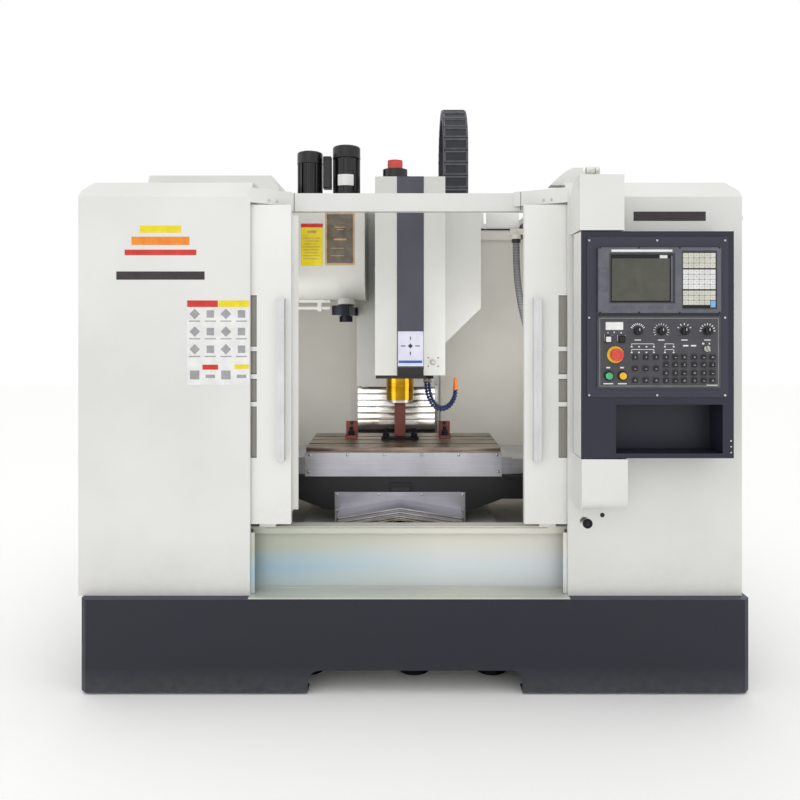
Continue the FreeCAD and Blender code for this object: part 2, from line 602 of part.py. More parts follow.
def gear_motors():
    """Two upright gear motors on the magazine's cover, ribbed, with a terminal box between them."""
    sizes(motor_y=-214, small_x=-480, small_radius=61, small_top=2122, large_x=-312, large_radius=69,
          large_top=2163,
          fin_pitch=14, fin_deep=8, fin_thick=6)
    parts = []
    for tag, x, radius, top, count in (("small", "small_x", "small_radius", "small_top", 8),
                                       ("large", "large_x", "large_radius", "large_top", 10)):
        parts.append(rod(f"{tag}_flange", "Z", (x, "motor_y"), f"{radius} - 6", "mag_high", "mag_high + 24"))
        parts.append(rod(f"{tag}_body", "Z", (x, "motor_y"), f"{radius} - fin_deep", "mag_high + 24",
                         f"{top} - 46"))
        parts.append(rod(f"{tag}_cap", "Z", (x, "motor_y"), radius, f"{top} - 46", top))
        for fin in range(count):
            z = f"mag_high + 50 + {fin}*fin_pitch"
            parts.append(rod(f"{tag}_fin_{fin}", "Z", (x, "motor_y"), radius, z, f"{z} + fin_thick"))
    parts.append(box("terminal_box", ("small_x + small_radius - 12", "large_x - large_radius + 12"),
                     ("motor_y - 50", "motor_y + 50"), ("mag_high + 70", "mag_high + 160")))
    node("gear_motors", parts)


def servo(tag, axis, across, low, way, half):
    """A square servo motor that starts at low and runs one way along its axis: flange, body and encoder."""
    ends = [low, f"{low} + ({way})*16", f"{low} + ({way})*150", f"{low} + ({way})*196"]
    parts = []
    for name, first, last, inset in (("flange", 0, 1, 0), ("body", 1, 2, 6), ("encoder", 2, 3, 18)):
        span = (ends[first], ends[last]) if way == "1" else (ends[last], ends[first])
        sides = [(f"{spot} - {half} + {inset}", f"{spot} + {half} - {inset}") for spot in across]
        spots = {"X": (span, sides[0], sides[1]), "Y": (sides[0], span, sides[1]),
                 "Z": (sides[0], sides[1], span)}
        parts.append(box(f"{tag}_{name}", *spots[axis]))
    return parts


def axis_servos():
    """Servo motors of the Y and Z feeds on their mounts, and the bearing blocks of those screws."""
    sizes(screw_r=16, screw_fit=0.05, y_screw_z=500, z_screw_y=225, y_servo_y=360, servo_half=65,
          y_bearing_y=300,
          z_bearing_low=700)
    sides = ("axis_x - servo_half", "axis_x + servo_half")
    y_block = box("y_bearing", sides, ("y_bearing_y", "y_servo_y"),
                  ("trough_floor", "y_screw_z + servo_half"))
    y_bore = rod("y_bearing_bore", "Y", ("axis_x", "y_screw_z"), "screw_r + screw_fit", "y_bearing_y - 1",
                 "y_servo_y - 20")
    y_front = box("y_front_bearing", sides, ("bed_front + 20", "bed_front + 60"),
                  ("trough_floor", "y_screw_z + 40"))
    y_front_bore = rod("y_front_bore", "Y", ("axis_x", "y_screw_z"), "screw_r + screw_fit",
                       "bed_front + 30", "bed_front + 61")
    z_block = box("z_bearing", sides, ("column_front + 2", "column_front + recess_deep"),
                  ("column_top - 120", "column_top - 60"))
    z_bore = rod("z_bearing_bore", "Z", ("axis_x", "z_screw_y"), "screw_r + screw_fit",
                 "column_top - 121", "column_top - 80")
    z_foot = box("z_foot", ("axis_x - servo_half", "axis_x + servo_half"),
                 ("column_front + 2", "column_front + recess_deep"),
                 ("z_bearing_low - 40", "z_bearing_low"))
    z_foot_bore = rod("z_foot_bore", "Z", ("axis_x", "z_screw_y"), "screw_r + screw_fit",
                      "z_bearing_low - 20", "z_bearing_low + 1")
    parts = [cut("y_bearing_cut", y_block, [y_bore]), cut("y_front_cut", y_front, [y_front_bore]),
             cut("z_bearing_cut", z_block, [z_bore]), cut("z_foot_cut", z_foot, [z_foot_bore])]
    parts += servo("y_servo", "Y", ("axis_x", "y_screw_z"), "y_servo_y", "1", "servo_half")
    parts += servo("z_servo", "Z", ("axis_x", "z_screw_y"), "column_top", "1", "servo_half")
    node("axis_servos", parts)


def roof_profile(half, peak, drop, thick, skirt):
    """Outline of a bent roof sheet about the machine axis, with short sides turned down."""
    return [
        (f"axis_x - {half}", f"{peak} - {drop} - {skirt}"),
            (f"axis_x - {half} + {thick}", f"{peak} - {drop} - {skirt}"),
        (f"axis_x - {half} + {thick}", f"{peak} - {drop} - {thick}"), ("axis_x", f"{peak} - {thick}"),
        (f"axis_x + {half} - {thick}", f"{peak} - {drop} - {thick}"),
        (f"axis_x + {half} - {thick}", f"{peak} - {drop} - {skirt}"),
            (f"axis_x + {half}", f"{peak} - {drop} - {skirt}"),
        (f"axis_x + {half}", f"{peak} - {drop}"), ("axis_x", peak), (f"axis_x - {half}", f"{peak} - {drop}"),
    ]


def y_cover(tag, step, front):
    """One roof segment of the Y way cover; step 0 is the outermost one, on the saddle."""
    half = f"(roof_half - {step}*roof_nest)"
    peak = f"(roof_peak - {step}*roof_nest)"
    back = f"{front} + roof_length" if step == 0 else f"{front} + roof_length - gap/2"
    return prism(tag, "XZ", roof_profile(half, peak, "roof_drop", "cover_skin", "roof_side"), front, back)


def tray(tag, step, left, length):
    """One box segment of an X way cover: top and two sides; step 0 is the outermost one."""
    inset = f"{step}*tray_nest"
    outer = box(f"{tag}_outer", (left, f"{left} + {length}"),
                (f"tray_front + {inset}", f"tray_back - {inset}"),
                ("tray_low", f"tray_top - {inset}"))
    inner = box(f"{tag}_inner", (f"{left} - 1", f"{left} + {length} + 1"),
                (f"tray_front + {inset} + cover_skin", f"tray_back - {inset} - cover_skin"),
                ("tray_low - 1", f"tray_top - {inset} - cover_skin"))
    return cut(tag, outer, [inner])


def z_cover(tag, step, low):
    """One segment of the Z way cover: front sheet and two sides; step 0 is the outermost one, on the head."""
    inset = f"{step}*z_nest"
    outer = box(f"{tag}_outer", (f"axis_x - z_half + {inset}", f"axis_x + z_half - {inset}"),
                (f"z_cover_front + {inset}", "column_front - gap"), (low, f"{low} + z_cover_length"))
    inner = box(f"{tag}_inner", (f"axis_x - z_half + {inset} + cover_skin",
                                 f"axis_x + z_half - {inset} - cover_skin"),
                (f"z_cover_front + {inset} + cover_skin", "column_front"),
                (f"{low} - 1", f"{low} + z_cover_length + 1"))
    return cut(tag, outer, [inner])


sizes(
    cover_skin=2, roof_half=250, roof_peak=602, roof_nest=6, roof_drop=40, roof_side=34, roof_lap=13,
    tray_front=-565, tray_back=-215, tray_low=700, tray_top=770, tray_nest=6, tray_lap=13,
    z_half=190, z_cover_front=120, z_nest=4, z_cover_low=768, z_lap=17,
)
rules(
    roof_length="(travel_front + travel_back)/3 + roof_lap",
      tray_length="(travel_left + travel_right)/3 + tray_lap",
    z_cover_length="travel_up/2 + z_lap", roof_root="saddle_front - travel_front - roof_length",
    roof_inner="roof_root + travel_front/3", roof_outer="roof_root + travel_front*2/3",
    tray_right_root="saddle_right - tray_length", tray_right_inner="tray_right_root - travel_right/3",
    tray_right_outer="tray_right_root - travel_right*2/3", tray_right_last="tray_right_root - travel_right",
    tray_left_inner="saddle_left + travel_left/3", tray_left_outer="saddle_left + travel_left*2/3",
    tray_left_last="saddle_left + travel_left",
)


def way_cover_roots():
    """The fixed segments of the Y and Z way covers with their feet."""
    plate = box("y_root_plate", ("axis_x - roof_half + 3*roof_nest + cover_skin",
                                 "axis_x + roof_half - 3*roof_nest - cover_skin"),
                ("roof_root", "roof_root + 4"), ("bed_top",
                                                 "roof_peak - roof_drop - 3*roof_nest - cover_skin"))
    foot = box("z_root_foot", ("axis_x - z_half + 2*z_nest + cover_skin",
                               "axis_x + z_half - 2*z_nest - cover_skin"),
               ("z_cover_front + 2*z_nest", "column_front"), ("z_rail_low - 24", "z_rail_low - 20"))
    skirt = box("z_root_skirt", ("axis_x - z_half + 2*z_nest + 20", "axis_x + z_half - 2*z_nest - 20"),
                ("z_cover_front + 2*z_nest", "z_cover_front + 2*z_nest + cover_skin"),
                ("z_rail_low - 20", "z_cover_low"))
    node("way_cover_roots", [y_cover("y_cover_root", 3, "roof_root"), plate,
                             z_cover("z_cover_root", 2, "z_cover_low"),
                             skirt, foot])


def route_of(points, radius_share):
    """Wire of straight runs joined by tangent arcs through a list of places."""
    vectors = [FreeCAD.Vector(*point) for point in points]
    edges = []
    start = vectors[0]
    for index in range(1, len(vectors) - 1):
        before = vectors[index] - vectors[index - 1]
        after = vectors[index + 1] - vectors[index]
        turn = before.getAngle(after)
        shorter = min(before.Length, after.Length)
        radius = radius_share * shorter / math.tan(turn / 2)
        reach = radius_share * shorter
        enter = vectors[index] - before.normalize() * reach
        leave = vectors[index] + after.normalize() * reach
        inward = (after - before).normalize()
        centre = vectors[index] + inward * math.hypot(radius, reach)
        crest = centre - inward * radius
        edges.append(Part.LineSegment(start, enter).toShape())
        edges.append(Part.Arc(enter, crest, leave).toShape())
        start = leave
    edges.append(Part.LineSegment(start, vectors[-1]).toShape())
    return Part.Wire(edges)


def flexible_conduit():
    """Loose conduit from the bracket at the top right of the tub down to a socket in its floor."""
    x, y, top = sheet.get("cord_x"), sheet.get("cord_y"), sheet.get("cord_top")
    end = x + sheet.get("cord_run")
    floor = sheet.get("tub_floor") + 18
    points = [(x, y, top), (x, y, top - 130), (x + 20, y + 4, top - 285), (x + 64, y + 6, top - 445),
              (x + 130, y + 2, top - 605), (x + 210, y - 3, top - 760), (end - 45, y - 4, top - 890),
              (end - 12, y - 1, floor + 188), (end, y, floor + 88), (end, y, floor)]
    wire = route_of(points, 0.45)
    radius = sheet.get("cord_radius")
    away = (FreeCAD.Vector(*points[1]) - FreeCAD.Vector(*points[0])).normalize()
    ring = Part.Wire([Part.Circle(FreeCAD.Vector(*points[0]), away, radius).toShape()])
    tube = wire.makePipeShell([ring], True, False)
    print(f"conduit length {wire.Length:.1f}")
    piece = doc.addObject("Part::Feature", "flexible_conduit_tube")
    piece.Shape = tube
    piece.Placement = FreeCAD.Placement()
    node("flexible_conduit", piece)


def saddle_casting():
    """Saddle: winged casting on the Y rails, with its rail blocks, nut bracket and screw bearings."""
    sizes(foot_half=309, foot_z=560, wing_start=419, wing_z=603, saddle_top=697, trench_half=50,
          trench_floor=640,
          nut_half=45, block_half=32, block_long=90, run_gap=1, x_screw_z=690, bearing_long=30)
    outline = [
        ("axis_x - foot_half", "foot_z"), ("axis_x + foot_half", "foot_z"), ("axis_x + wing_start", "wing_z"),
        ("saddle_right", "wing_z"), ("saddle_right", "saddle_top"), ("saddle_left", "saddle_top"),
        ("saddle_left", "wing_z"), ("axis_x - wing_start", "wing_z"),
    ]
    block = prism("saddle_block", "XZ", outline, "saddle_front", "saddle_back")
    trench = box("saddle_trench", ("saddle_left + bearing_long", "saddle_right - bearing_long"),
                 ("table_y - trench_half", "table_y + trench_half"), ("trench_floor", "saddle_top + 1"))
    bore = rod("saddle_bore", "X", ("table_y", "x_screw_z"), "screw_r + screw_fit", "saddle_left + 8",
               "saddle_right - 8")
    parts = []
    for side in ("-", "+"):
        for end in ("-", "+"):
            tag = ("left" if side == "-" else "right") + ("_front" if end == "-" else "_back")
            x = f"axis_x {side} way_y"
            y = f"saddle_y {end} 130"
            base = box("y_block_" + tag, (f"{x} - block_half", f"{x} + block_half"),
                       (f"{y} - block_long/2", f"{y} + block_long/2"), ("bed_top + 6", "foot_z"))
            groove = box("y_groove_" + tag, (f"{x} - rail_half - run_gap", f"{x} + rail_half + run_gap"),
                         (f"{y} - block_long", f"{y} + block_long"),
                         ("bed_top", "bed_top + rail_tall + run_gap"))
            parts.append(cut("y_carriage_" + tag, base, [groove]))
    nut = box("y_nut_block", ("axis_x - nut_half", "axis_x + nut_half"), ("saddle_y - 60", "saddle_y + 60"),
              ("y_screw_z - 40", "foot_z"))
    nut_bore = rod("y_nut_bore", "Y", ("axis_x", "y_screw_z"), "screw_r + screw_fit", "saddle_y - 61",
                   "saddle_y + 61")
    rear = box("saddle_tail_plate", ("axis_x - roof_half", "axis_x + roof_half"),
               ("saddle_back", "saddle_back + 6"),
               ("foot_z", "roof_peak - roof_drop"))
    node("saddle_casting", [cut("saddle", block, [trench, bore])] + parts + [cut("y_nut", nut,
                                                                                 [nut_bore]), rear])


def x_guide_rails():
    """The two X rails on top of the saddle."""
    sizes(x_rail_y=110, x_rail_top=718)
    parts = []
    for side in ("-", "+"):
        y = f"table_y {side} x_rail_y"
        parts.append(box("x_rail_" + ("front" if side == "-" else "back"),
                         ("saddle_left + 40", "saddle_right - 40"),
                         (f"{y} - rail_half", f"{y} + rail_half"), ("saddle_top", "x_rail_top")))
    node("x_guide_rails", parts)


def x_servo():
    """X servo on the saddle's left end."""
    sizes(x_servo_half=45)
    node("x_servo", servo("x_servo_motor", "X", ("table_y", "x_screw_z - 22"), "saddle_left", "-1",
                          "x_servo_half"))


def saddle_way_covers():
    """Way cover segments fixed to the saddle: the X roots, the front plate and roof, and the tail roof."""
    sizes(plate_low=505, plate_high=632, plate_thick=4, plate_border=18, tail_end=270)
    parts = []
    for tag, left in (("left", "saddle_left"), ("right", "tray_right_root")):
        parts.append(tray("x_root_" + tag, 3, left, "tray_length"))
    for tag, left in (("left", "saddle_left"), ("right", "saddle_right - cover_skin")):
        parts.append(box("x_root_end_" + tag, (left, f"{left} + cover_skin"),
                         ("tray_front + 3*tray_nest", "tray_back - 3*tray_nest"),
                         ("saddle_top", "tray_top - 3*tray_nest - cover_skin")))
    plate = box("saddle_plate", ("axis_x - roof_half - plate_border", "axis_x + roof_half + plate_border"),
                ("saddle_front - plate_thick", "saddle_front"), ("plate_low", "plate_high"))
    left, right = "axis_x - roof_half + cover_skin", "axis_x + roof_half - cover_skin"
    eave = "roof_peak - roof_drop - cover_skin"
    under = [(left, "plate_low - 1"), (right, "plate_low - 1"), (right, eave),
             ("axis_x", "roof_peak - cover_skin"),
             (left, eave)]
    parts.append(cut("saddle_plate_cut", plate, [prism("saddle_plate_arch", "XZ", under,
                                                       "saddle_front - 9", "saddle_front + 9")]))
    roof = y_cover("saddle_roof", 0, "saddle_front - roof_length")
    tail = prism("tail_roof", "XZ", roof_profile("roof_half", "roof_peak", "roof_drop", "cover_skin", "20"),
                 "saddle_back + 6", "tail_end")
    node("saddle_way_covers", parts + [roof, tail])


def table_casting():
    """Table with three T-slots, its boss, rail blocks and nut bracket."""
    sizes(boss_half=218, boss_front=170, boss_floor=745, slot_wide=18, slot_deep=32, tee_wide=30, tee_tall=12,
          slot_pitch=100, x_block_x=150)
    slab = box("table_slab", ("table_left", "table_right"), ("table_front", "table_back"),
               ("slab_floor", "table_top"))
    slots = []
    for index, side in enumerate(("-1", "0", "1")):
        y = f"table_y + ({side})*slot_pitch"
        slots.append(box(f"slot_{index}", ("table_left - 1", "table_right + 1"),
                         (f"{y} - slot_wide/2", f"{y} + slot_wide/2"),
                         ("table_top - slot_deep", "table_top + 1")))
        slots.append(box(f"tee_{index}", ("table_left - 1", "table_right + 1"),
                         (f"{y} - tee_wide/2", f"{y} + tee_wide/2"),
                         ("table_top - slot_deep", "table_top - slot_deep + tee_tall")))
    boss = box("table_boss", ("table_x - boss_half", "table_x + boss_half"),
               ("table_y - boss_front", "table_y + boss_front"),
               ("boss_floor", "slab_floor"))
    parts = [cut("table_slotted", slab, slots), boss]
    for side in ("-", "+"):
        for end in ("-", "+"):
            tag = ("left" if side == "-" else "right") + ("_front" if end == "-" else "_back")
            x = f"table_x {side} x_block_x"
            y = f"table_y {end} x_rail_y"
            base = box("x_block_" + tag, (f"{x} - block_long/2", f"{x} + block_long/2"),
                       (f"{y} - block_half", f"{y} + block_half"), ("saddle_top + 5", "boss_floor"))
            groove = box("x_groove_" + tag, (f"{x} - block_long", f"{x} + block_long"),
                         (f"{y} - rail_half - run_gap", f"{y} + rail_half + run_gap"),
                         ("saddle_top", "x_rail_top + run_gap"))
            parts.append(cut("x_carriage_" + tag, base, [groove]))
    nut = box("x_nut_block", ("table_x - 60", "table_x + 60"),
              ("table_y - nut_half + 5", "table_y + nut_half - 5"),
              ("x_screw_z - 36", "boss_floor"))
    nut_bore = rod("x_nut_bore", "X", ("table_y", "x_screw_z"), "screw_r + screw_fit", "table_x - 61",
                   "table_x + 61")
    node("table_casting", parts + [cut("x_nut", nut, [nut_bore])])


def table_guards():
    """Stainless plates on spacers along the table's edges, and the last segments of the X way covers."""
    sizes(guard_half=403, guard_low=699, guard_high=796, guard_thick=3, guard_off=11, screw_inset=16)
    parts = []
    for tag, near, far in (("front", "table_front", "-"), ("back", "table_back", "+")):
        low, high = (f"{near} - guard_off", near) if far == "-" else (near, f"{near} + guard_off")
        parts.append(box(f"guard_spacer_{tag}", ("table_left + 4", "table_right - 4"), (low, high),
                         ("guard_high - 18", "guard_high")))
        low, high = (f"{near} - guard_off - guard_thick", f"{near} - guard_off") if far == "-" else (
            f"{near} + guard_off", f"{near} + guard_off + guard_thick")
        parts.append(box(f"guard_{tag}", ("table_x - guard_half", "table_x + guard_half"), (low, high),
                         ("guard_low", "guard_high")))
    for index in range(6):
        x = f"table_x - guard_half + screw_inset + {index}*(guard_half - screw_inset)*2/5"
        parts.append(rod(f"guard_screw_{index}", "Y", (x, "guard_high - 8"), "5",
                         "table_front - guard_off - guard_thick - 3",
                         "table_front - guard_off - guard_thick"))
    for tag, left in (("left", "tray_left_last"), ("right", "tray_right_last")):
        parts.append(tray("x_last_" + tag, 0, left, "tray_length"))
    for tag, low, high in (("left", "table_x - boss_half - gap", "table_x - boss_half"),
                           ("right", "table_x + boss_half", "table_x + boss_half + gap")):
        parts.append(box("x_last_web_" + tag, (low, high),
                         ("tray_front + cover_skin", "tray_back - cover_skin"),
                         ("boss_floor + 1", "tray_top - cover_skin")))
        parts.append(box("x_last_pad_" + tag, (low, high), ("tray_front + 20", "tray_back - 20"),
                         ("tray_top - cover_skin", "slab_floor")))
    node("table_guards", parts)


def shipping_braces():
    """Transit braces in the T-slots: the post under the spindle, its clamp plate and two angle brackets."""
    sizes(post_half=24.5, post_top=973.5, post_y=-310, clamp_half=82, clamp_deep=26, clamp_thick=9,
          stud_radius=8,
          stud_tall=47, stud_nut=14, nut_tall=18, bracket_half=26, bracket_tall=66, bracket_thick=10,
          bracket_y=-290,
          left_bracket=-272, right_bracket=146)
    parts = [box("brace_post", ("axis_x - post_half", "axis_x + post_half"),
                 ("post_y - post_half", "post_y + post_half"),
                 ("table_top", "post_top")),
             box("clamp_front", ("axis_x - clamp_half", "axis_x + clamp_half"),
                 ("post_y - post_half - clamp_deep*2", "post_y - post_half"),
                 ("table_top", "table_top + clamp_thick"))]
    stud_x = ("axis_x - clamp_half + 20", "axis_x + clamp_half - 20")
    for index, x in enumerate(stud_x):
        y = "post_y - post_half - clamp_deep"
        parts.append(rod(f"clamp_stud_{index}", "Z", (x, y), "stud_radius", "table_top + clamp_thick",
                         "table_top + stud_tall"))
        parts.append(rod(f"clamp_nut_{index}", "Z", (x, y), "stud_nut", "table_top + clamp_thick",
                         "table_top + clamp_thick + nut_tall"))
    for tag, x in (("left", "left_bracket"), ("right", "right_bracket")):
        parts.append(box(f"bracket_foot_{tag}", (f"{x} - bracket_half", f"{x} + bracket_half"),
                         ("bracket_y - 50", "bracket_y + 30"),
                         ("table_top", "table_top + bracket_thick")))
        parts.append(box(f"bracket_wall_{tag}", (f"{x} - bracket_half", f"{x} + bracket_half"),
                         ("bracket_y + 30 - bracket_thick", "bracket_y + 30"),
                         ("table_top + bracket_thick", "table_top + bracket_tall")))
        parts.append(rod(f"bracket_stud_{tag}", "Z", (x, "bracket_y - 20"), "stud_radius",
                         "table_top + bracket_thick",
                         "table_top + stud_tall"))
        parts.append(rod(f"bracket_nut_{tag}", "Z", (x, "bracket_y - 20"), "stud_nut",
                         "table_top + bracket_thick",
                         "table_top + bracket_thick + nut_tall"))
    node("shipping_braces", parts)


def sliding_covers():
    """The loose segments between the fixed and the moving ends of the X, Y and Z way covers."""
    node("x_way_cover_outer", [tray("x_outer_left", 1, "tray_left_outer", "tray_length"),
                               tray("x_outer_right", 1, "tray_right_outer", "tray_length")])
    node("x_way_cover_inner", [tray("x_inner_left", 2, "tray_left_inner", "tray_length"),
                               tray("x_inner_right", 2, "tray_right_inner", "tray_length")])
    node("y_way_cover_outer", y_cover("y_outer", 1, "roof_outer"))
    node("y_way_cover_inner", y_cover("y_inner", 2, "roof_inner"))
    node("z_way_cover_middle", z_cover("z_middle", 1, "z_cover_low"))


def head_casting():
    """Spindle head: nose block, slide on the Z rails with its blocks and nut, and the drawbar's stand."""
    sizes(head_half=95, nose_front=-415, nose_low=1110, nose_high=1480, slide_half=170, slide_low=1010,
          slide_high=1480,
          slide_front=64, slide_back=118, spindle_y=-310, sleeve_r=61, stand_low_y=-375, stand_high_y=-245,
          stand_thick=18, deck_low=1878, deck_high=1900, drawbar_x=-76, z_nut_low=1200, z_nut_high=1290)
    nose = box("head_nose", ("axis_x - head_half", "axis_x + head_half"), ("nose_front", "slide_front"),
               ("nose_low", "nose_high"))
    bore = rod("head_bore", "Z", ("axis_x", "spindle_y"), "sleeve_r", "nose_low - 1", "nose_high + 1")
    parts = [cut("head_nose_cut", nose, [bore]),
             box("head_slide", ("axis_x - slide_half", "axis_x + slide_half"), ("slide_front", "slide_back"),
                 ("slide_low", "slide_high"))]
    for side in ("-", "+"):
        for end, low in (("low", "slide_low + 30"), ("high", "slide_high - 160")):
            tag = ("left_" if side == "-" else "right_") + end
            x = f"axis_x {side} z_rail_x"
            base = box("z_block_" + tag, (f"{x} - block_half + 2", f"{x} + block_half - 2"),
                       ("slide_back", "column_front - 6"), (low, f"{low} + 100"))
            groove = box("z_groove_" + tag, (f"{x} - rail_half - run_gap", f"{x} + rail_half + run_gap"),
                         ("column_front - z_rail_proud - run_gap", "column_front"),
                         (f"{low} - 1", f"{low} + 101"))
            parts.append(cut("z_carriage_" + tag, base, [groove]))
    nut = box("z_nut_block", ("axis_x - 45", "axis_x + 45"), ("slide_back", "z_screw_y + 32"),
              ("z_nut_low", "z_nut_high"))
    nut_bore = rod("z_nut_bore", "Z", ("axis_x", "z_screw_y"), "screw_r + screw_fit", "z_nut_low - 1",
                   "z_nut_high + 1")
    parts.append(cut("z_nut", nut, [nut_bore]))
    for tag, low, high in (("left", "axis_x - head_half", "axis_x - head_half + stand_thick"),
                           ("right", "axis_x + head_half - stand_thick", "axis_x + head_half")):
        parts.append(box("stand_" + tag, (low, high), ("stand_low_y", "stand_high_y"),
                         ("nose_high", "deck_low")))
    parts.append(box("stand_deck", ("axis_x - head_half", "axis_x + head_half"),
                     ("stand_low_y", "stand_high_y"),
                     ("deck_low", "deck_high")))
    node("head_casting", parts)


def head_covers():
    """Sheet covers of the head: front cover with centre strip, left shroud, chain duct, last Z segment."""
    sizes(cover_left=-160, cover_right=138, cover_front=-490, cover_back=40, cover_low=1104, cover_high=1948,
          strip_left=-67, strip_right=47, strip_thick=4, drawbar_r=55, shroud_left=-269, shroud_thick=4,
          duct_right=320, duct_front=-200, duct_deep=95, duct_low=1228, duct_high=1900, duct_corner=166,
          sole_thick=14)
    outer = box("cover_outer", ("cover_left", "cover_right"), ("cover_front", "cover_back"),
                ("cover_low", "cover_high"))
    inner = box("cover_inner", ("cover_left + skin", "cover_right - skin"),
                ("cover_front + skin", "cover_back + 1"),
                ("cover_low - 1", "cover_high - skin"))
    hole = rod("cover_hole", "Z", ("drawbar_x", "spindle_y"), "drawbar_r + 6", "cover_high - 9",
               "cover_high + 9")
    shell = cut("cover_shell", outer, [inner, hole])
    strip = box("cover_strip", ("strip_left", "strip_right"), ("cover_front - strip_thick", "cover_front"),
                ("cover_low + 26", "cover_high"))
    sole = box("cover_sole", ("cover_left + skin", "strip_right + 10"), ("cover_front + skin", "nose_front"),
               ("cover_low - sole_thick", "nose_low + 30"))
    shroud = box("left_shroud", ("shroud_left", "cover_left"), ("slide_front - shroud_thick", "slide_front"),
                 ("slide_low", "mag_high - 5"))
    duct_points = [("cover_right", "duct_low"), ("cover_right + 12", "duct_low"),
                   ("duct_right", "duct_low + duct_corner"),
                   ("duct_right", "duct_high"), ("cover_right", "duct_high")]
    duct_inside = [("cover_right + skin", "duct_low + skin"), ("cover_right + 11", "duct_low + skin"),
                   ("duct_right - skin", "duct_low + duct_corner + skin/2"),
                   ("duct_right - skin", "duct_high + 1"),
                   ("cover_right + skin", "duct_high + 1")]
    duct = cut("duct", prism("duct_outer", "XZ", duct_points, "duct_front", "duct_front + duct_deep"),
               [prism("duct_inner", "XZ", duct_inside, "duct_front + skin", "duct_front + duct_deep - skin")])
    flange = box("z_last_flange", ("axis_x - slide_half", "axis_x + slide_half"),
                 ("slide_front", "z_cover_front + cover_skin"),
                 ("slide_low - 3", "slide_low"))
    stay = box("cover_stay", ("cover_left + skin", "axis_x - head_half"), ("-60", "-40"),
               ("nose_low + 60", "nose_low + 200"))
    stay_right = box("cover_stay_right", ("axis_x + head_half", "cover_right - skin"), ("-60", "-40"),
                     ("nose_low + 60", "nose_low + 200"))
    node("head_covers", [shell, strip, sole, shroud, duct, z_cover("z_last", 0, "z_cover_low"), flange,
                         stay, stay_right])


def spindle_motor():
    """Spindle motor on the head's nose block, with its cooling fan."""
    sizes(spindle_motor_y=-90, motor_half=78, motor_high=1850, motor_skirt=20)
    ends = ("axis_x - motor_half", "axis_x + motor_half")
    sides = ("spindle_motor_y - motor_half", "spindle_motor_y + motor_half")
    parts = [box("spindle_motor_flange", ends, sides, ("nose_high", "nose_high + motor_skirt")),
             rod("spindle_motor_body", "Z", ("axis_x", "spindle_motor_y"), "motor_half - 6",
                 "nose_high + motor_skirt", "motor_high - 60"),
             box("spindle_motor_fan", ends, sides, ("motor_high - 60", "motor_high"))]
    node("spindle_motor", parts)


def drawbar_unit():
    """Drawbar cylinder on the stand, with its red cap."""
    sizes(cylinder_top=2010, cap_radius=33.5, cap_top=2051)
    spot = ("drawbar_x", "spindle_y")
    parts = [rod("drawbar_base", "Z", spot, "drawbar_r", "deck_high", "cylinder_top"),
             rod("drawbar_cap", "Z", spot, "cap_radius", "cylinder_top", "cap_top")]
    node("drawbar_unit", parts)


def spindle_cartridge():
    """Spindle sleeve in the head, with the coolant manifold beside it."""
    sizes(shaft_r=40, bore_fit=0.05, sleeve_low=985, flange_r=78, hose_x=67, hose_y=-354, hose_z=1078,
          hose_fit=0.4)
    sleeve = rod("sleeve", "Z", ("axis_x", "spindle_y"), "sleeve_r", "sleeve_low", "nose_high")
    flange = rod("sleeve_flange", "Z", ("axis_x", "spindle_y"), "flange_r", "nose_low - 14", "nose_low")
    bore = rod("sleeve_bore", "Z", ("axis_x", "spindle_y"), "shaft_r + bore_fit", "sleeve_low - 1",
               "nose_high + 1")
    manifold = box("manifold", ("axis_x + sleeve_r - 4", "hose_x + 26"), ("hose_y - 22", "spindle_y"),
                   ("hose_z + 4", "nose_low - 14"))
    rise = box("manifold_rise", ("axis_x + sleeve_r + 2", "axis_x + head_half"),
               ("hose_y - 22", "hose_y + 22"), ("nose_low - 14", "nose_low"))
    socket = rod("hose_hole", "Z", ("hose_x", "hose_y"), "8 + hose_fit", "hose_z", "hose_z + 14")
    node("spindle_cartridge", cut("cartridge", fuse("cartridge_whole", [sleeve, flange, manifold, rise]),
                                  [bore, socket]))


def spindle_shaft():
    """Turning spindle: shaft with its taper bore, nose ring with two drive slots, and pulley."""
    sizes(nose_r=56, nose_bottom=974, taper_mouth=22.2, taper_end=12.6, taper_deep=66, pulley_r=55,
          drive_key=8, key_place=46)
    spot = ("axis_x", "spindle_y")
    whole = fuse("shaft_whole", [rod("shaft", "Z", spot, "shaft_r", "nose_bottom + 10", "nose_high + 4"),
                                 rod("shaft_nose", "Z", spot, "nose_r", "nose_bottom", "sleeve_low - 1"),
                                 rod("shaft_pulley", "Z", spot, "pulley_r", "nose_high + 4",
                                     "nose_high + 60")])
    bore = taper("shaft_taper", "Z", spot, "taper_mouth", "taper_end", "nose_bottom",
                 "nose_bottom + taper_deep")
    slots = [box(f"drive_slot_{tag}", (f"axis_x {sign} key_place - drive_key",
                                       f"axis_x {sign} key_place + drive_key"),
                ("spindle_y - drive_key", "spindle_y + drive_key"),
                 ("nose_bottom - 1", "nose_bottom + drive_key"))
            for tag, sign in (("left", "-"), ("right", "+"))]
    node("spindle_shaft", cut("shaft_bored", whole, [bore] + slots))


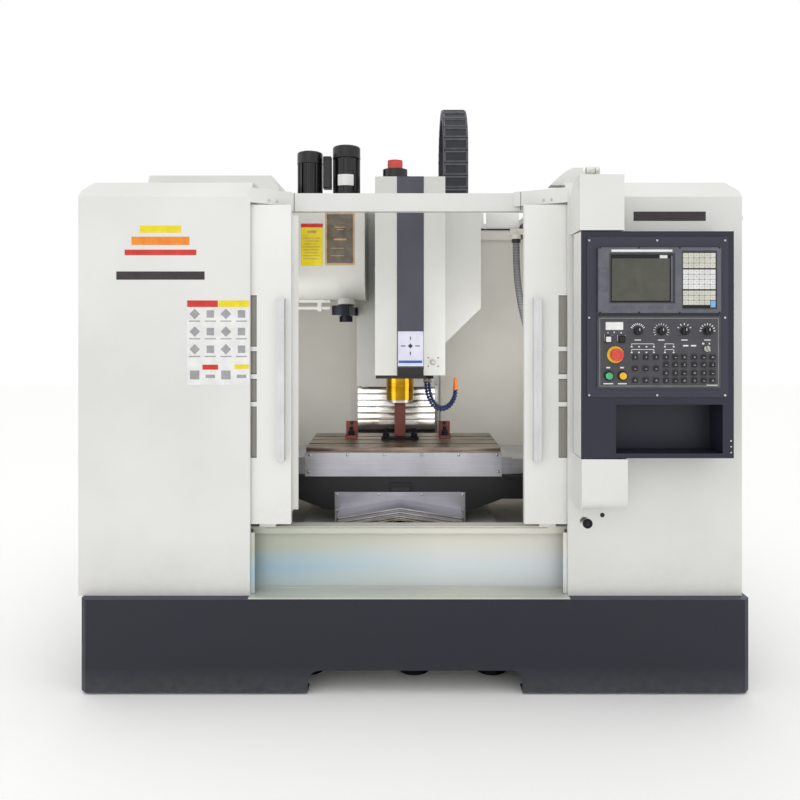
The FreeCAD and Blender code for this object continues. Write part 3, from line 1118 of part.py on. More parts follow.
def coolant_nozzle_links():
    """Coolant hose as one bent tube that curls from the manifold up to its conical nozzle."""
    sizes(link_r=11, neck_r=8, nozzle_tip=6, nozzle_lift=6, hose_wide=124, hose_fall=138, hose_end=48)
    x, y, z = (sheet.get(name) for name in ("hose_x", "hose_y", "hose_z"))
    wide, fall, end = (sheet.get(name) for name in ("hose_wide", "hose_fall", "hose_end"))
    points = [(x, y, z - 4), (x, y, z - fall / 3), (x + wide / 7, y, z - 0.76 * fall),
              (x + wide / 2, y, z - fall),
              (x + 6 * wide / 7, y, z - 0.8 * fall), (x + wide, y, z - 0.5 * fall), (x + wide, y, z - end)]
    wire = route_of(points, 0.45)
    ring = Part.Wire([Part.Circle(FreeCAD.Vector(*points[0]), FreeCAD.Vector(0, 0, 1),
                                  sheet.get("link_r")).toShape()])
    hose = doc.addObject("Part::Feature", "coolant_hose")
    hose.Shape = wire.makePipeShell([ring], True, False)
    neck = rod("hose_neck", "Z", ("hose_x", "hose_y"), "neck_r", "hose_z - 12", "hose_z + 13")
    cone = taper("nozzle_cone", "Z", ("hose_x + hose_wide", "hose_y"), "link_r", "nozzle_tip",
                 "hose_z - hose_end", "hose_z + nozzle_lift")
    node("coolant_nozzle_links", [hose, neck, cone])


def cable_chain():
    """Cable carrier: front strand, half-turn over the top and rear strand, as one rigid loop."""
    sizes(chain_end=1580, chain_crown=2130)
    rules(chain_mid="(chain_front + chain_rear + chain_thick)/2")
    ring = rod("chain_ring", "X", ("chain_mid", "chain_crown"), "chain_bend + chain_thick/2",
               "chain_left", "chain_right")
    eye = rod("chain_eye", "X", ("chain_mid", "chain_crown"), "chain_bend - chain_thick/2",
              "chain_left - 1", "chain_right + 1")
    lower = box("chain_lower", ("chain_left - 2", "chain_right + 2"),
                ("chain_front - 9", "chain_rear + chain_thick + 9"),
                ("chain_crown - 400", "chain_crown"))
    parts = [cut("chain_arch", ring, [eye, lower])]
    for tag, front in (("front", "chain_front"), ("rear", "chain_rear")):
        parts.append(box("chain_strand_" + tag, ("chain_left", "chain_right"),
                         (front, f"{front} + chain_thick"),
                         ("chain_end", "chain_crown")))
    node("cable_chain", parts)


def door(tag, edge, way):
    """A door leaf from its inner edge: folded sheet with four windows, lip, shoes, glass and handle.

    way is -1 where the leaf grows to the left of its inner edge, and 1 where it grows to the right.
    """
    def span(first, last):
        """Two places measured outwards from the inner edge, in rising order."""
        near = f"{edge} {'-' if way < 0 else '+'} ({first})"
        far = f"{edge} {'-' if way < 0 else '+'} ({last})"
        return (far, near) if way < 0 else (near, far)

    outer = box(f"{tag}_leaf_outer", span("0", "leaf_wide"), ("leaf_front", "leaf_front + leaf_deep"),
                ("leaf_low", "leaf_high"))
    inner = box(f"{tag}_leaf_inner", span("skin", "leaf_wide - skin"),
                ("leaf_front + skin", "leaf_front + leaf_deep + 1"),
                ("leaf_low + skin", "leaf_high - skin"))
    windows = []
    for row in range(4):
        above = f" + window_tall + window_bar + {row - 1}*(window_mid + window_bar)" if row else ""
        low = "window_low" + above
        tall = "window_tall" if row in (0, 3) else "window_mid"
        windows.append(box(f"{tag}_window_{row}", span("window_off", "window_off + window_wide"),
                           ("leaf_front - 1", "leaf_front + skin + 1"), (low, f"{low} + {tall}")))
    parts = [cut(f"{tag}_leaf", outer, [inner] + windows)]
    if way < 0:
        parts.append(box(f"{tag}_lip_return", span("0", "skin"),
                         ("leaf_front + leaf_deep", "lip_face + skin"),
                         ("leaf_low + 37", "leaf_high - 30")))
        parts.append(box(f"{tag}_lip", span("-18", "0"), ("lip_face", "lip_face + skin"),
                         ("leaf_low + 37", "leaf_high - 30")))
    for index, off in enumerate(("60", "leaf_wide - 120")):
        parts.append(box(f"{tag}_shoe_{index}", span(off, f"{off} + 60"),
                         ("leaf_front + 36 - 9", "leaf_front + 36 + 9"),
                         ("lip_high + run_gap", "leaf_low")))
        parts.append(box(f"{tag}_shoe_foot_{index}", span(off, f"{off} + 60"),
                         ("leaf_front + 10", "leaf_front + 36 + 9"),
                         ("leaf_low", "leaf_low + skin")))
    node(f"{tag}_door", parts)
    glass = box(f"{tag}_pane", span("window_off - 15", "window_off + window_wide + 15"),
                ("leaf_front + skin", "leaf_front + skin + glass_thick"),
                ("window_low - 15", "window_top + 15"))
    node(f"{tag}_door_glass", glass)
    off = "handle_off_left" if way < 0 else "handle_off_right"
    grip = box(f"{tag}_grip", span(off, f"{off} + handle_wide"), ("leaf_front - handle_proud", "leaf_front"),
               ("handle_low", "handle_high"))
    channel = box(f"{tag}_grip_channel", span(f"{off} - 1" if way < 0 else f"{off} + 9",
                                              f"{off} + handle_wide - 9" if way < 0
                  else f"{off} + handle_wide + 1"), ("leaf_front - handle_proud + 7", "leaf_front - 7"),
                  ("handle_low + 5", "handle_high - 5"))
    node(f"{tag}_door_handle", cut(f"{tag}_handle", grip, [channel]))


def doors():
    sizes(leaf_wide=620, leaf_deep=30, leaf_front=-939, leaf_low=594, leaf_high=1760, left_edge=-452,
          right_edge=400,
          window_low=836, window_tall=187, window_mid=84, window_bar=17, window_off=125, window_wide=330,
          window_top=1428,
          lip_face=-872, glass_thick=5, handle_off_left=20, handle_off_right=30, handle_wide=28,
          handle_proud=30,
          handle_low=829, handle_high=1416)
    door("left", "left_edge", -1)
    door("right", "right_edge", 1)


def control_box():
    """Swinging control box with its open tray below the panel and holes for the hinge pins."""
    sizes(box_wall=4, tray_left=688, tray_right=1055, tray_floor=880, tray_high=1048, tray_depth=110,
          box_round=28)
    outer = box("control_outer", ("control_left", "control_left + control_wide"),
                ("control_back - control_deep", "control_back"),
                ("control_low", "control_high"))
    up = FreeCAD.Vector(0, 0, 1)
    left = number("control_left")
    back = number("control_back")
    outer = rounded("control_round", outer, "box_round",
                    lambda edge: along(edge,
                                       up) and abs(middle(edge).x - left) < 1 and abs(middle(edge).y - back) < 1)
    bay = box("control_tray", ("tray_left", "tray_right"),
              ("control_back - control_deep - 1", "control_back - control_deep + tray_depth"),
              ("tray_floor", "tray_high"))
    hollow = box("control_hollow", ("control_left + 62", "control_left + control_wide - box_wall"),
                 ("control_back - control_deep + box_wall + 60", "control_back - box_wall"),
                 ("tray_high + 20", "control_high - box_wall"))
    vents = [box(f"control_vent_{row}", ("control_left + control_wide/2 - 90",
                                         "control_left + control_wide/2 + 90"),
                 ("control_back - box_wall - 1", "control_back + 1"),
                 (f"tray_high + 80 + {row}*22", f"tray_high + 88 + {row}*22"))
             for row in range(5)]
    holes = [rod("upper_pin_hole", "Z", ("pivot_x", "pivot_y"), "pin_radius + 0.06",
                 "control_high - pin_deep - 3", "control_high + 1"),
             rod("lower_pin_hole", "Z", ("pivot_x", "pivot_y"), "pin_radius + 0.06", "control_low - 1",
                 "control_low + pin_deep + 3")]
    node("control_box", cut("control", outer, [bay, hollow] + vents + holes))


def control_panel():
    """Panel plate with the display unit and the operator panel, its keys and fixed rings."""
    sizes(plate_left=588, plate_right=1073, plate_floor=1074.5, plate_ceiling=1624, panel_thick=3,
          unit_left=622, unit_right=1044,
          unit_low=1362, unit_high=1588, unit_thick=10, screen_left=666, screen_right=880,
          screen_low=1399.5, screen_high=1561.6,
          screen_sunk=4, pad_left=913, pad_right=1025, pad_low=1380, pad_high=1572, operator_low=1105,
          operator_high=1352,
          operator_thick=6, key_half=9, key_proud=4, stop_x=683, stop_z=1220.5, stop_ring=28.5,
          stop_stem=10, stem_gap=0.5,
          start_x=660, hold_x=707, push_z=1148, push_r=12, push_stem=5, knob_z=1301, knob_r=12.5, knob_stem=4)
    rules(panel_face="control_back - control_deep - panel_thick", operator_face="panel_face - operator_thick",
          unit_face="panel_face - unit_thick")
    plate = box("plate", ("plate_left", "plate_right"), ("panel_face", "control_back - control_deep"),
                ("plate_floor", "plate_ceiling"))
    unit = box("unit", ("unit_left", "unit_right"), ("unit_face", "panel_face"), ("unit_low", "unit_high"))
    screen = box("screen_recess", ("screen_left", "screen_right"),
                 ("unit_face - 1", "unit_face + screen_sunk"), ("screen_low", "screen_high"))
    pad_recess = box("pad_recess", ("pad_left", "pad_right"), ("unit_face - 1", "unit_face + 3"),
                     ("pad_low", "pad_high"))
    operator = box("operator", ("unit_left", "unit_right"), ("operator_face", "panel_face"),
                   ("operator_low", "operator_high"))
    deep = ("operator_face - 1", "control_back - control_deep + box_wall + 14")
    holes = [rod("stop_hole", "Y", ("stop_x", "stop_z"), "stop_stem + stem_gap", *deep)]
    for tag, x in (("start", "start_x"), ("hold", "hold_x")):
        holes.append(rod(f"{tag}_hole", "Y", (x, "push_z"), "push_stem + stem_gap", *deep))
    for index, x in enumerate(KNOB_PLACES):
        holes.append(rod(f"knob_hole_{index}", "Y", (x, "knob_z"), "knob_stem + stem_gap", *deep))
    face = cut("panel_face_cut", fuse("panel_whole", [plate, unit, operator]), [screen, pad_recess] + holes)
    parts = [face, rod("stop_ring", "Y", ("stop_x", "stop_z"), "stop_ring", "operator_face - 3",
                       "operator_face")]
    parts[1] = cut("stop_ring_cut", parts[1], [rod("stop_ring_hole", "Y", ("stop_x", "stop_z"),
                                                   "stop_stem + stem_gap",
                                                   "operator_face - 4", "operator_face + 1")])
    rows = ("1212", "1186", "1158", "1132")
    for across, x in enumerate(("856", "888", "918", "953", "985", "1015")):
        for row, z in enumerate(rows):
            parts.append(panel_key(f"key_{across}_{row}", x, z))
    for across, x in enumerate(("750", "787", "822")):
        for row, z in enumerate(("1212", "1173", "1133")):
            parts.append(panel_key(f"mode_key_{across}_{row}", x, z))
    for index in range(7):
        x = f"screen_left + 14 + {index}*31"
        parts.append(box(f"soft_key_{index}", (f"{x} - 9", f"{x} + 9"), ("unit_face - 3", "unit_face"),
                         ("1377", "1385")))
    for tag, x in (("off", "658"), ("on", "704")):
        parts.append(box(f"rocker_{tag}", (f"{x} - 10", f"{x} + 10"),
                         ("operator_face - 6", "operator_face"), ("1263", "1283")))
    node("control_panel", parts)


def panel_key(name, x, z):
    return box(name, (f"{x} - key_half", f"{x} + key_half"), ("operator_face - key_proud", "operator_face"),
               (f"{z} - key_half", f"{z} + key_half"))


KNOB_PLACES = ("760", "840.5", "919.5", "998.5")
KNOB_NAMES = ("mode_knob", "feed_override_knob", "rapid_override_knob", "spindle_override_knob")


def panel_controls():
    """Emergency stop, start and hold buttons and four selector knobs, each turned, with its stem."""
    sizes(stop_head=21, stop_gap=8, stop_tall=17, push_gap=5, push_tall=8, knob_tall=18, knob_gap=1,
          pointer=2)
    head = rod("stop_head_disc", "Y", ("stop_x", "stop_z"), "stop_head",
               "operator_face - 3 - stop_gap - stop_tall",
               "operator_face - 3 - stop_gap")
    stem = rod("stop_stem_rod", "Y", ("stop_x", "stop_z"), "stop_stem", "operator_face - 3 - stop_gap",
               "operator_face + 2")
    node("estop_button", [head, stem])
    for tag, x in (("start", "start_x"), ("hold", "hold_x")):
        cap = rod(f"{tag}_cap", "Y", (x, "push_z"), "push_r", "operator_face - push_gap - push_tall",
                  "operator_face - push_gap")
        pin = rod(f"{tag}_pin", "Y", (x, "push_z"), "push_stem", "operator_face - push_gap",
                  "operator_face + 3")
        node(f"{tag}_button", [cap, pin])
    for name, x in zip(KNOB_NAMES, KNOB_PLACES):
        body = rod(f"{name}_body", "Y", (x, "knob_z"), "knob_r", "operator_face - knob_gap - knob_tall",
                   "operator_face - knob_gap")
        pin = rod(f"{name}_pin", "Y", (x, "knob_z"), "knob_stem", "operator_face - knob_gap",
                  "operator_face + 5")
        ridge = box(f"{name}_ridge", (f"{x} - pointer", f"{x} + pointer"),
                    ("operator_face - knob_gap - knob_tall - 3",
                    "operator_face - knob_gap - knob_tall"), ("knob_z - knob_r + 2", "knob_z + knob_r - 1"))
        node(name, [body, pin, ridge])


def tool_disc():
    """Turning tool disc inside the magazine's cover, with its pots round the rim."""
    sizes(disc_r=150, disc_thick=30, pot_r=20, pot_ring=128, pot_count=16)
    spot = ("disc_y", "disc_z")
    parts = [rod("disc_plate", "X", spot, "disc_r", "disc_x", "disc_x + disc_thick"),
             rod("disc_axle", "X", spot, "axle_r", "mag_left + skin + 2", "disc_x")]
    count = int(sheet.get("pot_count"))
    for index in range(count):
        turn = f"{index}*360/{count}"
        pot = rod(f"pot_{index}", "X", (f"disc_y + pot_ring*cos({turn})",
                                        f"disc_z + pot_ring*sin({turn})"), "pot_r",
                  "disc_x - 60", "disc_x")
        parts.append(pot)
    node("tool_disc", parts)


def tool_changer_arm():
    """Lifting shaft of the tool changer and the double-ended arm on it."""
    sizes(arm_shaft_low=1330, arm_high=1400, arm_thick=40, arm_reach=253, arm_half=30, jaw_r=42,
          jaw_bore=30, hub_gap=3)
    spot = ("hub_x", "hub_y")
    shaft = rod("arm_shaft", "Z", spot, "shaft_radius", "arm_high - arm_thick - 24", "mag_high - 190")
    collar = rod("arm_collar", "Z", spot, "hub_radius", "arm_high + hub_gap - 1", "mag_low - 22")
    nut = rod("arm_nut", "Z", spot, "hub_radius - 8", "arm_shaft_low", "arm_high - arm_thick - hub_gap")
    node("atc_arm_shaft", [shaft, collar, nut])
    bar = box("arm_bar", ("hub_x - arm_half", "hub_x + arm_half"),
              ("hub_y - arm_reach + jaw_bore", "hub_y + arm_reach - jaw_bore"),
              ("arm_high - arm_thick", "arm_high"))
    parts = [bar]
    bores = [rod("arm_hub_bore", "Z", spot, "shaft_radius + 0.05", "arm_high - arm_thick - 1",
                 "arm_high + 1")]
    for tag, sign in (("front", "-"), ("back", "+")):
        y = f"hub_y {sign} arm_reach"
        parts.append(rod(f"jaw_{tag}", "Z", ("hub_x", y), "jaw_r", "arm_high - arm_thick", "arm_high"))
        bores.append(rod(f"jaw_bore_{tag}", "Z", ("hub_x", y), "jaw_bore", "arm_high - arm_thick - 1",
                         "arm_high + 1"))
        wide = ("hub_x", "hub_x + jaw_r + 1") if sign == "-" else ("hub_x - jaw_r - 1", "hub_x")
        bores.append(box(f"jaw_mouth_{tag}", wide, (f"{y} - jaw_bore", f"{y} + jaw_bore"),
                         ("arm_high - arm_thick - 1", "arm_high + 1")))
    node("atc_arm", cut("arm", fuse("arm_whole", parts), bores))


def electrical_door():
    """Rear door of the electrical cabinet, on its left edge."""
    sizes(door_thick=12, door_margin=4, door_gap=2)
    panel = box("bay_door", ("bay_left + door_margin", "bay_right - door_margin"),
                ("bay_rear + door_gap", "bay_rear + door_gap + door_thick"),
                ("bay_low + door_margin", "bay_high - door_margin"))
    latch = box("bay_latch", ("bay_right - 70", "bay_right - 40"),
                ("bay_rear + door_gap + door_thick", "bay_rear + door_gap + door_thick + 14"),
                ("1080", "1200"))
    parts = [panel, latch]
    for index, z in enumerate(HINGE_PLACES):
        spot = ("hinge_x", "hinge_y")
        low = f"{z} + door_gap"
        high = f"{z} + barrel_long"
        barrel = rod(f"door_barrel_{index}", "Z", spot, "barrel_r", low, high)
        lug = box(f"door_lug_{index}", ("hinge_x", "bay_left + door_margin"), ("hinge_y", "hinge_y + 5"),
                  (low, high))
        bore = rod(f"door_bore_{index}", "Z", spot, "hinge_pin + 0.06", f"{low} - 1", f"{high} + 1")
        parts.append(cut(f"door_hinge_{index}", fuse(f"door_hinge_whole_{index}", [barrel, lug]), [bore]))
    node("electrical_door", parts)


def ballscrews():
    """The three feed screws between their bearings."""
    node("x_ballscrew", rod("x_screw", "X", ("table_y", "x_screw_z"), "screw_r", "saddle_left + 10",
                            "saddle_right - 10"))
    node("y_ballscrew", rod("y_screw", "Y", ("axis_x", "y_screw_z"), "screw_r", "bed_front + 32",
                            "y_servo_y - 22"))
    node("z_ballscrew", rod("z_screw", "Z", ("axis_x", "z_screw_y"), "screw_r", "z_bearing_low - 18",
                            "column_top - 82"))


SUB_PARTS = (
    base_skirt, bed_casting, leveling_feet, guide_rails, column_casting, left_cabinet, right_cabinet,
             control_arms,
    lintel, apron, splash_tub, electrical_cabinet, magazine_cover, atc_cam_box, gear_motors, axis_servos,
    way_cover_roots, flexible_conduit, saddle_casting, x_guide_rails, x_servo, saddle_way_covers,
             table_casting,
    table_guards, shipping_braces, sliding_covers, head_casting, head_covers, spindle_motor, drawbar_unit,
    spindle_cartridge, spindle_shaft, coolant_nozzle_links, cable_chain, doors, control_box, control_panel,
    panel_controls, tool_disc, tool_changer_arm, electrical_door, ballscrews,
)


def check_document():
    """Stop on any failed object or unsound sub-part before a file is written."""
    doc.recompute()
    failed = [item.Name for item in doc.Objects if "Invalid" in item.State or "Error" in item.State]
    if failed:
        raise RuntimeError(f"failed objects: {failed}")
    for item in NODES:
        if item.Shape.isNull() or not item.Shape.isValid() or not item.Shape.Solids:
            raise RuntimeError(f"unsound sub-part: {item.Label}")


for make in SUB_PARTS:
    make()
check_document()
os.makedirs("parts", exist_ok=True)
for item in NODES:
    item.Shape.exportStep(f"parts/{item.Label}.step")
    room = item.Shape.BoundBox
    print(f"{item.Label}: {len(item.Shape.Solids)} solids, x {room.XMin:.0f} to {room.XMax:.0f},"
          f" y {room.YMin:.0f} to {room.YMax:.0f}, z {room.ZMin:.0f} to {room.ZMax:.0f}")
print(f"{len(NODES)} sub-parts")
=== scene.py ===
import math

import bmesh
import bpy
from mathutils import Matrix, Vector


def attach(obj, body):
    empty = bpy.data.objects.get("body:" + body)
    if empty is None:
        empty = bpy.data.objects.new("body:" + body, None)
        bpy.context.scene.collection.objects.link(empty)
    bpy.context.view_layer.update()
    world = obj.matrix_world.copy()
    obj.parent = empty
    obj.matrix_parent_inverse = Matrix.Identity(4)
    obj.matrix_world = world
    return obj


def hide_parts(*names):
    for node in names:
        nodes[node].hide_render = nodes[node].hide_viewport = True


# A vertical machining center in its sliding-door enclosure: the CAD nodes get their
# finishes here, and panel, trim, covers and fittings are modelled on them. Metres.
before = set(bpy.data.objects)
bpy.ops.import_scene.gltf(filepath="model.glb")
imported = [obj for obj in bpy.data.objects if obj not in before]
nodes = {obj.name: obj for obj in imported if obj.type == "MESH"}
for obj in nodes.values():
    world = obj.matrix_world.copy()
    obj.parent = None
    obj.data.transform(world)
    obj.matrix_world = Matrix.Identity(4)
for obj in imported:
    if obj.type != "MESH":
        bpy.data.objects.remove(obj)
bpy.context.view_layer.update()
bpy.ops.object.select_all(action="DESELECT")
print("frame loaded, nodes:", len(nodes))


# finishes

def paint(hexText, alpha=1.0):
    # sRGB hex to the linear colour that the shaders work in
    values = [int(hexText[i:i + 2], 16) / 255 for i in (1, 3, 5)]
    linear = [v / 12.92 if v <= 0.04045 else ((v + 0.055) / 1.055) ** 2.4 for v in values]
    return (*linear, alpha)


def addNode(tree, kind, settings=None, links=None, stops=None):
    node = tree.nodes.new("ShaderNode" + kind)
    for key, value in (settings or {}).items():
        if isinstance(key, int) or key in node.inputs:
            node.inputs[key].default_value = value
        else:
            setattr(node, key, value)
    for key, source in (links or {}).items():
        tree.links.new(source, node.inputs[key])
    if stops:
        ramp = node.color_ramp
        while len(ramp.elements) < len(stops):
            ramp.elements.new(0.5)
        for element, (position, colour) in zip(ramp.elements, stops):
            element.position = position
            element.color = colour
    return node


def startMaterial(name, shaderSettings):
    material = bpy.data.materials.new(name)
    material.use_nodes = True
    tree = material.node_tree
    tree.nodes.clear()
    shader = addNode(tree, "BsdfPrincipled", shaderSettings)
    addNode(tree, "OutputMaterial", links={"Surface": shader.outputs["BSDF"]})
    place = addNode(tree, "TexCoord").outputs["Object"]
    return material, tree, shader, place


millimetre = 0.001


def closeMaterial(tree, shader, look, pattern, height, spread, ends=(0.35, 0.65), relief=None, tint=None):
    # colour and gloss from one pattern, relief from another
    tone = addNode(tree, "ValToRGB", links={"Fac": pattern}, stops=[
        (ends[0], paint(look["shade"])), (ends[1], paint(look["colour"]))])
    colour = tint(tone.outputs["Color"]) if tint else tone.outputs["Color"]
    tree.links.new(colour, shader.inputs["Base Color"])
    gloss = addNode(tree, "MapRange", {
        "From Min": 0.3, "From Max": 0.7, "To Min": look["roughness"] - spread[0],
        "To Max": look["roughness"] + spread[1]}, {"Value": pattern})
    tree.links.new(gloss.outputs["Result"], shader.inputs["Roughness"])
    bump = addNode(tree, "Bump", {"Strength": relief[0], "Distance": relief[1]},
                   {"Height": height})
    tree.links.new(bump.outputs["Normal"], shader.inputs["Normal"])


# Powder coat and sprayed enamel: a fine orange peel and a slow drift of tone, with a
# little settled dust low down where "dust" is given.
def coatMetal(name, look):
    material, tree, shader, place = startMaterial(name, {
        "Metallic": 0.0, "IOR": 1.5, "Coat Weight": look.get("coat", 0.0), "Coat Roughness": 0.2})
    drift = addNode(tree, "TexNoise", {"Scale": 2.2, "Detail": 3.0}, {"Vector": place})

    def settleDust(colour):
        height = addNode(tree, "SeparateXYZ", links={"Vector": place})
        low, high = look["dustBand"]
        band = addNode(tree, "MapRange", {
            "From Min": low, "From Max": high, "To Min": 0.5, "To Max": 0.0},
            {"Value": height.outputs["Z"]})
        grain = addNode(tree, "TexNoise", {"Scale": 30.0, "Detail": 5.0}, {"Vector": place})
        amount = addNode(tree, "Math", {"operation": "MULTIPLY"}, {
            0: band.outputs["Result"], 1: grain.outputs["Fac"]})
        return addNode(tree, "Mix", {"data_type": "RGBA", 7: paint(look["dust"])}, {
            0: amount.outputs["Value"], 6: colour}).outputs[2]

    peel = addNode(tree, "TexNoise", {
        "Scale": 1 / (look["peel"] * millimetre), "Detail": 2.0}, {"Vector": place})
    closeMaterial(tree, shader, look, drift.outputs["Fac"], peel.outputs["Fac"], (0.04, 0.06),
                  relief=(look["peelStrength"], 0.0006), tint=settleDust if "dust" in look else None)
    return material


# Metal with a lay: noise drawn out along the way it was ground, brushed or drawn.
def workedMetal(name, look):
    material, tree, shader, place = startMaterial(name, {"Metallic": look.get("metallic", 1.0)})
    stretch = addNode(tree, "Mapping", {"Scale": look["lay"]}, {"Vector": place})
    lines = addNode(tree, "TexNoise", {"Scale": 1.0, "Detail": 4.0, "Roughness": 0.65},
                    {"Vector": stretch.outputs["Vector"]})
    cloud = addNode(tree, "TexNoise", {
        "Scale": look.get("cloudScale", 6.0), "Detail": 4.0}, {"Vector": place})
    half = addNode(tree, "Math", {"operation": "MULTIPLY_ADD", 1: 0.5, 2: 0.0}, {
        0: lines.outputs["Fac"]})
    share = addNode(tree, "Math", {"operation": "MULTIPLY_ADD", 1: 0.5}, {
        0: cloud.outputs["Fac"], 2: half.outputs["Value"]})
    closeMaterial(tree, shader, look, share.outputs["Value"], lines.outputs["Fac"], (0.08, 0.1),
                  (0.38, 0.62), (look.get("depth", 0.12), 0.0003))
    return material


# Moulded ABS, nylon and rubber: a spark-eroded grain and a small change of gloss.
def mouldedPlastic(name, look):
    material, tree, shader, place = startMaterial(name, {
        "Metallic": 0.0, "IOR": 1.46, "Coat Weight": look.get("coat", 0.0)})
    cloud = addNode(tree, "TexNoise", {
        "Scale": look.get("cloudScale", 25.0), "Detail": 3.0}, {"Vector": place})
    grain = addNode(tree, "TexVoronoi", {
        "Scale": 1 / (look["grain"] * millimetre)}, {"Vector": place})
    closeMaterial(tree, shader, look, cloud.outputs["Fac"], grain.outputs["Distance"], (0.05, 0.08),
                  relief=(look.get("depth", 0.15), 0.0003))
    return material


coats = {  # colour, shade, roughness, peel, peelStrength, then what else it has
    # sheet steel in off-white powder coat: satin, faint orange peel, greyer near the floor
    "cabinetPowderCoat": ("#e2e2df", "#dadad6", 0.42, 2.5, 0.12,
        {"dust": "#c9c6bd", "dustBand": (0.33, 0.55)}),
    # sliding doors, the same coat a touch brighter
    "doorPowderCoat": ("#ecece9", "#e6e6e2", 0.38, 2.5, 0.1, {"dust": "#cdcac2", "dustBand": (0.57, 0.75)}),
    # inside of the splash tub: warm grey white, duller, and darker towards the bottom
    "tubEnamel": ("#dcdad2", "#d0cec5", 0.5, 3.0, 0.15, {"dust": "#8d897c", "dustBand": (0.48, 0.72)}),
    # structural textured enamel of the base: blue black
    "baseTexturedEnamel": ("#1a1e2c", "#161a26", 0.6, 1.6, 0.35,
        {"dust": "#6b6c6c", "dustBand": (0.0, 0.1)}),
    # control enclosure: the same family, bluer and smoother
    "controlTexturedEnamel": ("#1d2033", "#181a2a", 0.45, 1.4, 0.25),
    # control plate: satin slate enamel; also laid on the base's top ledge as a painted highlight
    "slateEnamelAndLedgeHighlight": ("#2f3141", "#2a2c3c", 0.4, 1.4, 0.2),
    # machine castings: filled and sprayed light grey
    "castingEnamel": ("#dcdcd6", "#d0d0c9", 0.48, 6.0, 0.3),
    # head covers: off-white gloss powder coat
    "headPowderCoat": ("#d9d9d5", "#d1d1cc", 0.34, 2.2, 0.1, {"coat": 0.1}),
    # head's centre stripe: slate enamel with a soft bloom
    "stripeEnamel": ("#4b4c57", "#3e3f4b", 0.36, 2.0, 0.1),
    # saddle: black enamel with an oil film
    "saddleBlackEnamel": ("#1c1d21", "#131417", 0.4, 5.0, 0.3),
    # motors: black stove enamel
    "motorBlackEnamel": ("#17181b", "#0f1012", 0.22, 1.8, 0.25),
    # transport braces: red oxide primer, flat and blotchy
    "redOxidePrimer": ("#74382f", "#5c2a24", 0.62, 3.0, 0.5),
}
metals = {  # colour, shade, roughness, lay, then what else it has
    # folded stainless guards: grey with a lilac cast, brushed along X
    "brushedStainless": ("#cac9d0", "#a9a8af", 0.36, (6, 90, 900), {"depth": 0.1}),
    # telescopic covers: polished stainless with oil smears across
    "polishedStainless": ("#dddbd6", "#a29a90", 0.2, (3, 20, 160), {"cloudScale": 9.0, "depth": 0.02}),
    # ground guideways and screws: bright, lay along Y
    "groundSteel": ("#c9c9c6", "#aaa9a5", 0.25, (900, 8, 900)),
    # table top: ground iron under brown preserving oil
    "oiledGroundIron": ("#b3a694", "#75655a", 0.34, (4, 500, 60), {"cloudScale": 7.0, "depth": 0.08}),
    # apron: electroplated sheet under a peeling film, matt and pale
    "zincPlatedSheet": ("#d2d4c8", "#c2c6bd", 0.42, (2, 40, 500),
        {"metallic": 0.35, "cloudScale": 3.0, "depth": 0.05}),
    # handles: satin anodised aluminium, drawn along Z
    "anodisedAluminium": ("#e2e2e2", "#cfcfd0", 0.3, (900, 900, 6), {"metallic": 0.75}),
    # spindle sleeve: titanium nitride gold, ground round
    "nitrideGold": ("#d8a728", "#8a640c", 0.18, (6, 6, 900), {"cloudScale": 14.0}),
    # black oxide on turned steel: blue black, dry
    "blackOxideSteel": ("#33343a", "#1d1e22", 0.4, (60, 60, 600)),
    # nickel-plated screws and fittings
    "nickelPlate": ("#e4e3df", "#b9b7b2", 0.22, (300, 300, 300)),
    # cast aluminium of the tool disc and arm
    "tumbledAluminium": ("#bdbdb9", "#9d9d99", 0.42, (120, 120, 120), {"cloudScale": 30.0}),
}
plastics = {  # colour, shade, roughness, grain, then what else it has
    # glass-filled nylon chain and terminal boxes
    "glassFilledNylon": ("#2b2c30", "#212226", 0.5, 1.6),
    "chainNylon": ("#5c5d62", "#4b4c51", 0.46, 1.6),
    "knobAbs": ("#1a1a1c", "#121214", 0.34, 1.2),
    "panelFilm": ("#4b4b50", "#434348", 0.42, 1.0, {"depth": 0.08}),
    "panelFrameAbs": ("#65666f", "#5a5b64", 0.46, 1.2),
    "keyFilmIvory": ("#dcdbcf", "#cdccc0", 0.42, 1.0),
    "keyFilmWhite": ("#ececea", "#dfdfdd", 0.42, 1.0),
    "keyFilmBlue": ("#86b9e6", "#76abda", 0.42, 1.0),
    "markWhite": ("#eeeeec", "#e2e2e0", 0.5, 0.8),
    "markGrey": ("#a6a6a9", "#97979b", 0.5, 0.8),
    "stopRed": ("#e2463a", "#cf3a30", 0.3, 1.5, {"coat": 0.3}),
    "stopYellow": ("#f0c02c", "#e2ac1c", 0.34, 1.5),
    "buttonGreen": ("#4fc07a", "#38a864", 0.25, 1.5, {"coat": 0.3}),
    "hoseNavy": ("#1d2f63", "#14224a", 0.35, 1.4, {"coat": 0.2}),
    "nozzleOrange": ("#ee8031", "#dc6a1e", 0.36, 1.4),
    "capRed": ("#d8443c", "#c23831", 0.36, 2.0, {"coat": 0.2}),
    "conduitPvc": ("#6d6e70", "#56575a", 0.45, 1.6),
    # black rubber for gaskets; also the black strip along the tub's roof beam, which is a painted shadow
    "gasketRubberAndPaintedShadow": ("#1d1d1f", "#141416", 0.7, 1.2),
    "plateLavender": ("#dfe0ee", "#d4d5e6", 0.35, 1.5),
    "filmDark": ("#3a3234", "#302a2c", 0.4, 1.5),
    "filmBronze": ("#6e6354", "#584e42", 0.26, 1.5, {"coat": 0.4}),
}
# self-adhesive film and screen print: even colour, half gloss
for name, colour, shade in (
        ("filmYellow", "#f0dc1c", "#e4cd10"), ("filmRed", "#d8352a", "#c52c22"),
        ("filmOrange", "#f0962a", "#ea7f22"), ("filmBlue", "#4263b4", "#3856a4"),
        ("filmTan", "#c9a877", "#b59361")):
    plastics[name] = (colour, shade, 0.36, 1.5)

